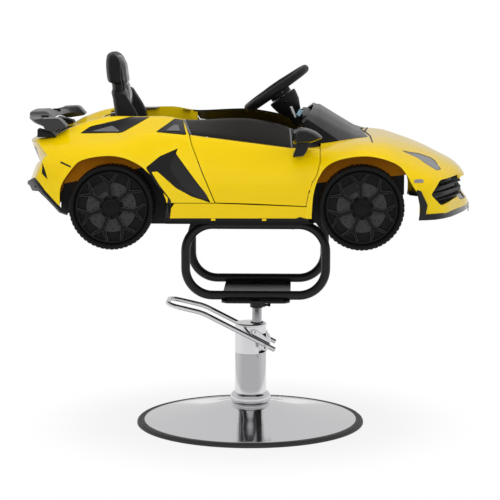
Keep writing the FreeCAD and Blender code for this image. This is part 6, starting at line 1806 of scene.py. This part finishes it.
@dataclass
class Steering:
    """Steering wheel and shaft."""

    hub: Point3
    tilt: float
    outer: float = 0.095
    section: float = 0.0105
    shaft: float = 0.007
    shaft_length: float = 0.270

    def build(self) -> None:
        """Make the steering wheel and its shaft."""
        axis = Vector((math.sin(self.tilt), 0, -math.cos(self.tilt)))
        up = -axis
        ahead = Vector((0, 1, 0)).cross(up)
        place = Matrix((ahead, Vector((0, 1, 0)), up)).transposed().to_4x4()
        place.translation = Vector(self.hub)
        reach = self.outer - self.section
        rows = []
        for k in range(96):
            angle = FULL_TURN * k / 96
            grip = 1.0 + 0.10 * max(0.0, math.cos(2 * (angle - math.pi / 2)) - 0.72) / 0.28
            ring = []
            for j in range(24):
                turn = FULL_TURN * j / 24
                radius = self.section * min(1.0, 0.93 * grip)
                ring.append(((reach + radius * math.cos(turn)) * math.cos(angle),
                             (reach + radius * math.cos(turn)) * math.sin(angle), radius * math.sin(turn)))
            rows.append(ring)
        rim = grid(rows, loop=True)
        show(rim.moved(place), "steering_rim", MOULDED_BLACK, ["steering_wheel"], body="steering", crease=50)
        hubs = turned([(0, 0.004), (0.018, 0.0036), (0.0235, 0.0015), (0.0262, -0.003), (0.0273, -0.010),
                       (0.0273, -0.0229), (0, -0.0229)], 64, ring=False)
        for angle in (90, 180, 270):
            arm = upright(softened([(0.020, -0.0135), (reach - 0.004, -0.0085), (reach - 0.004, 0.0085),
                                    (0.020, 0.0135)], 0.05, 2), -0.0155, -0.0075, 0.0014)
            hubs.join(arm.moved(spun(angle, "Z")))
        show(hubs.moved(place), "steering_spokes", MOULDED_BLACK, body="steering", crease=35)
        start = Vector(self.hub) + axis * self.section * 2.2
        end = Vector(self.hub) + axis * self.shaft_length
        shaft = rod(tuple(start), tuple(end), self.shaft, 32, 0.001)
        show(shaft, "steering_rod", STEEL, ["steering_shaft"], body="steering")


@dataclass
class Seat:
    """Moulded bucket seat with a crowned back pad and cushion."""

    surface: BodySurface
    half: float = 0.130
    # Height share, rear, middle and bolster positions along the car, half width share
    levels: Sequence[tuple[float, float, float, float, float]] = (
        (.30, -.580, -.540, -.455, 1.0), (.62, -.592, -.550, -.468, 1.0), (.90, -.600, -.556, -.485, 1.0),
        (1.10, -.612, -.560, -.534, .98), (1.145, -.617, -.565, -.548, .96), (1.165, -.617, -.567, -.562, .64),
        (1.225, -.620, -.570, -.568, .60), (1.24, -.634, -.571, -.568, .66), (1.30, -.641, -.575, -.572, .66),
        (1.42, -.645, -.578, -.574, .60), (1.50, -.640, -.598, -.595, .50), (1.52, -.630, -.612, -.612, .38))

    def build(self) -> None:
        """Make the shell and the soft pads."""
        self.shell()
        self.back_pad()
        self.cushion()

    def rows(self, low: float, high: float, count: int) -> list[tuple[float, ...]]:
        """Interpolated levels between two height shares.

        Args:
            low: First height share.
            high: Last height share.
            count: Number of levels.

        Returns:
            The levels, as in the table.
        """
        table = np.array(self.levels)
        wanted = np.linspace(low, high, count)
        values = monotone(table[:, 0], table[:, 1:], wanted)
        return [(float(w), *map(float, v)) for w, v in zip(wanted, values)]

    def shell(self) -> None:
        """Seat shell: back with side bolsters and a base."""
        s = self.surface
        rings = []
        for up, rear, middle, bolster, wide in self.rows(.30, 1.52, 100):
            edge = wide * self.half
            half = [(rear, edge * .0), (rear, edge * .62), (rear + .02, edge), (bolster, edge),
                    (bolster - .004, edge * .80), (middle, edge * .70), (middle, 0)]
            line = [(s.x(u), v) for u, v in half]
            soft = softened(line, 0.28, 4, closed=False)
            ring = [(x, -y, s.z(up)) for x, y in soft] + [(x, y, s.z(up)) for x, y in reversed(soft)][1:-1]
            rings.append(ring)
        back = grid(rings)
        base_line = softened([(s.x(-.565), 0.535), (s.x(-.15), 0.535)] + s.outline(
            [(-.140, .34), (-.155, .40), (-.40, .36), (-.565, .36)]), 0.1, 3)
        base = slab(base_line, -self.half * .95, self.half * .95, 0.003)
        bed = s.block((-.54, -.165), (.30, .6), -self.half * .74, self.half * .74)
        form = carved(back, (Keep.BOTH, base), (Keep.OUTSIDE, bed))
        show(largest(form), "seat_bucket", MOULDED_BLACK, ["seat_shell"], bevel=0.0012, crease=35)

    def back_pad(self) -> None:
        """Back pad from the headrest down, with sewn channels."""
        s = self.surface
        rows = []
        for share in np.linspace(0, 1, 40):
            up, _, middle, _, wide = self.rows(.90 + .59 * share, 1.51, 2)[0]
            edge = min(wide, .62 + .3 * (1 - share)) * self.half * .66
            swell = max(0.0, math.sin(math.pi * (0.04 + 0.92 * share))) ** 0.4
            rows.append([(s.x(middle) + 0.0004 + 0.0088 * swell * (1 - abs(side) ** 4) ** 0.5, edge * side, s.z(up))
                         for side in np.linspace(-1, 1, 25)]
                        + [(s.x(middle) + 0.0004, edge * side, s.z(up)) for side in np.linspace(0.9, -0.9, 9)])

        def channel(point: Point3) -> float:
            """Depth of the sewn channels at a point.

            Args:
                point: A point of the pad.

            Returns:
                The depth.
            """
            along = abs(abs(point[1]) - self.half * .30) / 0.0035
            across = abs(point[2] - s.z(1.22)) / 0.0035 if abs(point[1]) < self.half * .30 else 9.0
            return 0.0030 * math.exp(-min(along, across) ** 2)

        pad = filled(grid(rows), Vector((1, 0, 0)), channel)
        show(pad, "seat_back_pad", HIDE_BLACK, crease=60)

    def cushion(self) -> None:
        """Seat cushion with rolled sides and seams."""
        s = self.surface
        rear, front, low = s.x(-.53), s.x(-.172), s.z(.30) + 0.0003
        rows = []
        for share in np.linspace(0, 1, 40):
            ends = (1 - abs(2 * share - 1) ** 5) ** 0.5
            half = self.half * (.65 + .05 * ends)
            row = []
            for side in np.linspace(-1, 1, 33):
                bolster = math.exp(-((abs(side) - .82) / .13) ** 2)
                lift = (0.0195 + 0.006 * bolster) * (1 - abs(side) ** 6) ** 0.5 * (0.35 + 0.65 * ends)
                row.append((rear + (front - rear) * share, half * side, low + 0.0015 + lift))
            rows.append(row + [(rear + (front - rear) * share, half * side, low) for side in np.linspace(1, -1, 11)])

        def seam(point: Point3) -> float:
            """Depth of the seams at a point.

            Args:
                point: A point of the pad.

            Returns:
                The depth.
            """
            along = abs(abs(point[1]) - self.half * .45) / 0.0035
            across = abs(point[0] - (rear + front) / 2) / 0.0035 if abs(point[1]) < self.half * .45 else 9.0
            return 0.0032 * math.exp(-min(along, across) ** 2)

        pad = filled(grid(rows), Vector((0, 0, 1)), seam)
        show(pad, "seat_cushion", HIDE_BLACK, ["seat_pad"], crease=60)


@dataclass
class Wheel:
    """One wheel: tyre, dished rim, drilled disc, caliper, forked spokes, ring and hub cap."""

    end: str
    side: Side
    x: float
    face: float = 0.285
    height: float = AXLE_HEIGHT
    radius: float = 0.1005
    width: float = 0.060
    dish: float = 0.015
    ring: float = 0.089
    disc: float = 0.059
    hub: float = 0.024
    bore: float = 0.00505
    count: int = 7
    blocks: int = 54
    tread_depth: float = 0.0016
    notches: int = 20
    phase: float = -0.163  # Where the first spoke stands, in spokes

    @property
    def name(self) -> str:
        """Name of the wheel's CAD body and node."""
        return f"wheel_{self.end}_{self.side.word}"

    @property
    def levels(self) -> Point2:
        """Back and face of the spokes."""
        back = -self.dish * .85 + 0.00005
        return back, back + 0.0050

    def build(self) -> None:
        """Make every piece of the wheel."""
        self.tyre()
        self.brake()
        self.spokes()
        self.cap()

    def put(self, form: Form, name: str, finish: Finish, replaces: Sequence[str] = (), crease: float = 35.0,
            bevel: float = 0.0) -> bpy.types.Object:
        """Show a form made in the wheel's own frame, its outer face at z = 0.

        Args:
            form: Shape round the Z axis.
            name: Piece name without the wheel's place.
            finish: Its finish.
            replaces: CAD nodes that it stands for.
            crease: Angle in degrees above which an edge stays sharp.
            bevel: Width of a bevel on sharp edges.

        Returns:
            The new object.
        """
        place = spun(-90 * self.side.value, "X", (self.x, self.side.value * self.face, self.height))
        return show(form.moved(place), f"{name}_{self.end}_{self.side.word}", finish, replaces, self.name, crease,
                    bevel)

    def tyre(self) -> None:
        """Moulded tyre with cut tread blocks, and the dished rim inside it."""
        r, w = self.radius, self.width

        def tread(radius: float, turn: float) -> float:
            """Lower the tread between its blocks.

            Args:
                radius: Radius in the profile.
                turn: Share of the turn.

            Returns:
                The radius there.
            """
            if radius < r * 0.975:
                return radius
            return radius - self.tread_depth * (1.0 if (turn * self.blocks) % 1.0 < 0.24 else 0.0)

        back = -self.dish - w * .09
        profile = [(self.bore, -w * .72), (0.016, -w * .72), (0.016, back), (r * .76, back), (r * .84, -w),
                   (r * .93, -w), (r * .972, -w * .985), (r * .992, -w * .93), (r, -w * .86)]
        for start, low, high, end in ((.64, .63, .60, .59), (.37, .36, .33, .32)):
            profile += [(r, -w * start), (r * .972, -w * low), (r * .972, -w * high), (r, -w * end)]
        profile += [(r, -w * .13), (r * .992, -w * .07), (r * .972, -w * .022), (r * .945, -0.0002),
                   (r * .925, 0.0), (self.ring + 0.0034, -0.0004), (self.ring + 0.0022, -0.0010),
                   (self.ring + 0.0012, -0.0024), (self.ring, -0.0040), (self.ring - 0.0014, -0.0080),
                   (self.ring - 0.003, -self.dish), (self.disc + 0.004, -self.dish - 0.0004), (0.020, -self.dish),
                   (self.bore, -self.dish + 0.002)]
        self.put(turned(profile, 432, ripple=tread), "tyre", TYRE_BLACK, [self.name], crease=30)

    def brake(self) -> None:
        """Drilled grey disc and a black caliper moulded on the dish."""
        top = -self.dish + 0.00225
        plate = turned([(0.028, -self.dish - 0.0008), (self.disc, -self.dish - 0.0008), (self.disc, top - 0.0004),
                        (self.disc - 0.0005, top), (0.0285, top), (0.028, top - 0.0004)], 144)
        holes = Form()
        for k in range(14):
            for j, reach in enumerate((0.036, 0.0435, 0.051)):
                angle = FULL_TURN * (k + j * 0.3) / 14
                holes.join(rod((reach * math.cos(angle), reach * math.sin(angle), -0.03),
                               (reach * math.cos(angle), reach * math.sin(angle), 0), 0.0016, 12))
        self.put(carved(plate, (Keep.OUTSIDE, holes)), "brake_disc", DISC_GREY)
        arc = []
        for reach, sweep in ((0.064, 1), (0.040, -1)):
            for k in range(9):
                angle = math.radians(118 + sweep * (-24 + 48 * k / 8))
                arc.append((reach * math.cos(angle), reach * math.sin(angle)))
        block = upright(softened(arc, 0.15, 2), -self.dish - 0.0005, top + 0.0030, 0.0008)
        self.put(block, "brake_caliper", MOULDED_BLACK, bevel=0.0004)

    def fork(self, gap: float) -> list[Point2]:
        """Outline of one forked spoke.

        Args:
            gap: How far it is drawn in.

        Returns:
            The outline.
        """
        root, split, tip = self.hub * .9, self.disc * .86, self.ring * .92
        side = [(root, 0.0056), (split, 0.0046), (tip, 0.0265), (tip + 0.0008, 0.0200), (split + 0.0105, 0.0)]
        line = side + [(u, -v) for u, v in reversed(side[:-1])]
        return drawn_in(line, gap) if gap else line

    def spokes(self) -> None:
        """Forked spokes whose chamfered edges are painted light grey as a highlight, and the ring that joins them."""
        back, face = self.levels
        highlight_strips, dark = Form(), Form()
        for k in range(self.count):
            turn = Matrix.Rotation(FULL_TURN * (k + self.phase) / self.count, 4, "Z")
            highlight_strips.join(upright(self.fork(0.0008), face - 0.0009, face, 0.0007).moved(turn))
            dark.join(upright(self.fork(0.0), back, face - 0.0008, 0.0008).moved(turn))
            dark.join(upright(self.fork(0.0016), face - 0.0008, face + 0.0003, 0.0002).moved(turn))
        inner, outer = self.ring - 0.0095, self.ring - 0.0035
        band = turned([(inner, back), (outer, back), (outer, face - 0.0010), (outer - 0.0010, face),
                       (inner + 0.0012, face), (inner, face - 0.0010)], 144)
        # Edge strips in light grey: painted highlight on the chamfers.
        self.put(highlight_strips, "spoke_edges", CHAMFER_HIGHLIGHT_GREY)
        self.put(dark.join(band), "spoke_faces", SPOKE_BLACK, [f"wheel_cover_{self.end}_{self.side.word}"])

    def cap(self) -> None:
        """Hub cap with a notched collar."""
        back, face = self.levels
        hub = self.hub

        def notched(radius: float, turn: float) -> float:
            """Cut notches in the collar."""
            return radius - (0.0016 if radius > hub * .93 and (turn * self.notches) % 1.0 < 0.4 else 0.0)

        profile = [(1e-6, face + 0.0062), (hub * .45, face + 0.0059), (hub * .62, face + 0.0048),
                   (hub * .66, face + 0.0040), (hub * .70, face + 0.0040), (hub * .80, face + 0.0046),
                   (hub * .96, face + 0.0020), (hub, face + 0.0012), (hub, back + 0.0015), (1e-6, back + 0.0015)]
        self.put(turned(profile, 160, ripple=notched, ring=False), "hub_cap", SPOKE_BLACK, crease=25)


@dataclass
class Chassis:
    """CAD parts under the body that keep their shape."""

    nodes: dict[str, bpy.types.Object]

    def build(self) -> None:
        """Give every kept part its finish."""
        finishes = {
            "base_weight": IRON, "base_bolts": STEEL, "pump_body": STEEL,
            "door_hinges": MOULDED_BLACK, "rear_axle": STEEL, "tie_rod": STEEL,
            "knuckle_right": IRON, "knuckle_left": IRON}
        for name, finish in finishes.items():
            mesh = self.nodes[name].data
            mesh.materials.clear()
            mesh.materials.append(finish.material())
        pan = form_of(self.nodes["floor_pan"].data).moved(self.nodes["floor_pan"].matrix_world)
        front = slab([(0.362, 0.50), (0.45, 0.50), (0.45, 0.60), (0.370, 0.60)], -ACROSS, ACROSS)
        rear = slab(oblong((-0.55, -0.416), (0.50, 0.556)), -ACROSS, ACROSS)
        show(carved(pan, (Keep.OUTSIDE, front), (Keep.OUTSIDE, rear)), "floor_pan_moulded", MOULDED_BLACK,
             ["floor_pan"])


@dataclass
class Studio:
    """Camera, pale floor and soft light."""

    place: Point3 = (0.1316, -4.943, 1.1445)
    pitch: float = 81.87
    yaw: float = 1.53
    lens: float = 144.0
    sensor: float = 36.0
    light: float = 0.42
    floor_half: float = 30.0

    def build(self) -> None:
        """Set the studio up."""
        self.camera()
        self.world()
        self.floor()
        self.lights()
        bpy.context.scene.view_settings.view_transform = "Standard"

    def camera(self) -> None:
        """Camera of the photograph's view."""
        lens = bpy.data.cameras.new("camera")
        lens.lens, lens.sensor_width = self.lens, self.sensor
        lens.clip_start, lens.clip_end = 0.1, 100.0
        lens.dof.use_dof = False
        view = added("camera", lens)
        view.location = self.place
        view.rotation_euler = (math.radians(self.pitch), 0, math.radians(self.yaw))
        bpy.context.scene.camera = view

    @staticmethod
    def reckon(tree: bpy.types.NodeTree, operation: str, *values: bpy.types.NodeSocket) -> bpy.types.NodeSocket:
        """Add a sum node over the values and return its result."""
        return added_node(tree, "Math", dict(enumerate(values)), operation=operation).outputs["Value"]

    @staticmethod
    def ramp(tree: bpy.types.NodeTree, value: bpy.types.NodeSocket, *ends: float) -> bpy.types.NodeSocket:
        """Add a soft step from one value to another.

        Args:
            tree: Node tree.
            value: What is read.
            ends: Where the step starts and ends, and its value at both.

        Returns:
            The step's result.
        """
        steps = dict(zip(("From Min", "From Max", "To Min", "To Max"), ends))
        return added_node(tree, "MapRange", {**steps, "Value": value},
                          interpolation_type="SMOOTHSTEP").outputs["Result"]

    @staticmethod
    def depth(tree: bpy.types.NodeTree, kind: str) -> bpy.types.NodeSocket:
        """Return the Y of a place, or of a direction in the world."""
        place = added_node(tree, "TexCoord").outputs[kind]
        return added_node(tree, "SeparateXYZ", {"Vector": place}).outputs["Y"]

    def world(self) -> None:
        """Even pale light, pure white behind the object, with the darker side of the room in front of it."""
        world = bpy.data.worlds.new("studio")
        world.use_nodes = True
        tree = world.node_tree
        tree.nodes.clear()
        path = added_node(tree, "LightPath").outputs
        room = self.ramp(tree, self.depth(tree, "Generated"), -0.6, 0.4, 0.5, 0.66)
        seen = added_node(tree, "Background", {"Color": self.reckon(tree, "MAXIMUM", path["Is Camera Ray"], room)})
        lit = added_node(tree, "Background", {"Color": (1, 1, 1, 1), "Strength": self.light})
        direct = self.reckon(tree, "MAXIMUM", path["Is Camera Ray"], path["Is Glossy Ray"])
        pick = added_node(tree, "MixShader", {
            "Fac": self.reckon(tree, "MAXIMUM", direct, path["Is Transmission Ray"]),
            1: lit.outputs["Background"], 2: seen.outputs["Background"]})
        added_node(tree, "OutputWorld", {"Surface": pick.outputs["Shader"]})
        bpy.context.scene.world = world

    def paper(self) -> bpy.types.Material:
        """White paper that keeps the shadow near the base and fades to pure white around it.

        Returns:
            The material.
        """
        material = bpy.data.materials.new("studio_paper")
        material.use_nodes = True
        tree = material.node_tree
        plain = tree.nodes["Principled BSDF"]
        feed(plain, {"Base Color": (0.6, 0.6, 0.6, 1), "Roughness": 0.9})
        white = added_node(tree, "Emission", {"Color": (1, 1, 1, 1)})
        place = added_node(tree, "TexCoord").outputs["Object"]
        reach = added_node(tree, "VectorMath", {0: place}, operation="LENGTH")
        fade = self.ramp(tree, reach.outputs["Value"], 0.3, 0.6, 0.86, 1.0)
        behind = self.ramp(tree, self.depth(tree, "Object"), -1.3, 0.0, 0.5, 0.8)
        path = added_node(tree, "LightPath").outputs
        mirrored = self.reckon(tree, "MAXIMUM", path["Is Glossy Ray"], path["Is Transmission Ray"])
        shown = self.reckon(tree, "MAXIMUM", path["Is Camera Ray"], self.reckon(tree, "MULTIPLY", mirrored, behind))
        pick = added_node(tree, "MixShader", {
            "Fac": self.reckon(tree, "MULTIPLY", fade, shown), 1: plain.outputs["BSDF"], 2: white.outputs["Emission"]})
        feed(tree.nodes["Material Output"], {"Surface": pick.outputs["Shader"]})
        return material

    def floor(self) -> None:
        """Pale floor that keeps a faint shadow."""
        half = self.floor_half
        mesh = bpy.data.meshes.new("studio_floor")
        mesh.from_pydata([(-half, -half, 0), (half, -half, 0), (half, half, 0), (-half, half, 0)], [], [(0, 1, 2, 3)])
        mesh.materials.append(self.paper())
        added("studio_floor", mesh)

    def lights(self) -> None:
        """Large soft lights: one overhead, one at each side and one in front."""
        for name, place, aim, size, power in (
                ("top", (0.2, -0.2, 3.2), (0, 0, 0.5), 2.4, 26),
                ("left", (-2.6, -1.8, 1.8), (0, 0, 0.6), 1.8, 20),
                ("right", (2.8, -1.6, 1.6), (0, 0, 0.6), 1.8, 18),
                ("front", (0.1, -3.6, 1.6), (0, 0, 0.5), 2.0, 34)):
            lamp = bpy.data.lights.new(name, "AREA")
            lamp.shape, lamp.size, lamp.energy = "SQUARE", size, power
            item = added(name, lamp)
            item.location = place
            item.rotation_euler = (Vector(aim) - Vector(place)).to_track_quat("-Z", "Y").to_euler()
            item.visible_glossy = False


def main() -> None:
    """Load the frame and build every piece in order."""
    logging.basicConfig(level=logging.INFO, format="%(message)s")
    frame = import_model()
    surface = BodySurface()
    shell = Shell(surface)
    cabin = Cabin(surface)
    Studio().build()
    groups = [Base(), Frame(), Chassis(frame["nodes"]), shell, BodyTrim(surface, shell), Deck(surface), cabin,
              Steering(cabin.hub, cabin.tilt), Seat(surface)]
    groups += [Door(surface, shell, side) for side in Side]
    groups += [Wheel(end, side, x) for end, x in (("front", 0.2695), ("rear", -0.320)) for side in Side]
    for group in groups:
        group.build()
        LOG.info("built %s", type(group).__name__)
    bpy.context.view_layer.update()


if __name__ == "__main__":
    main()
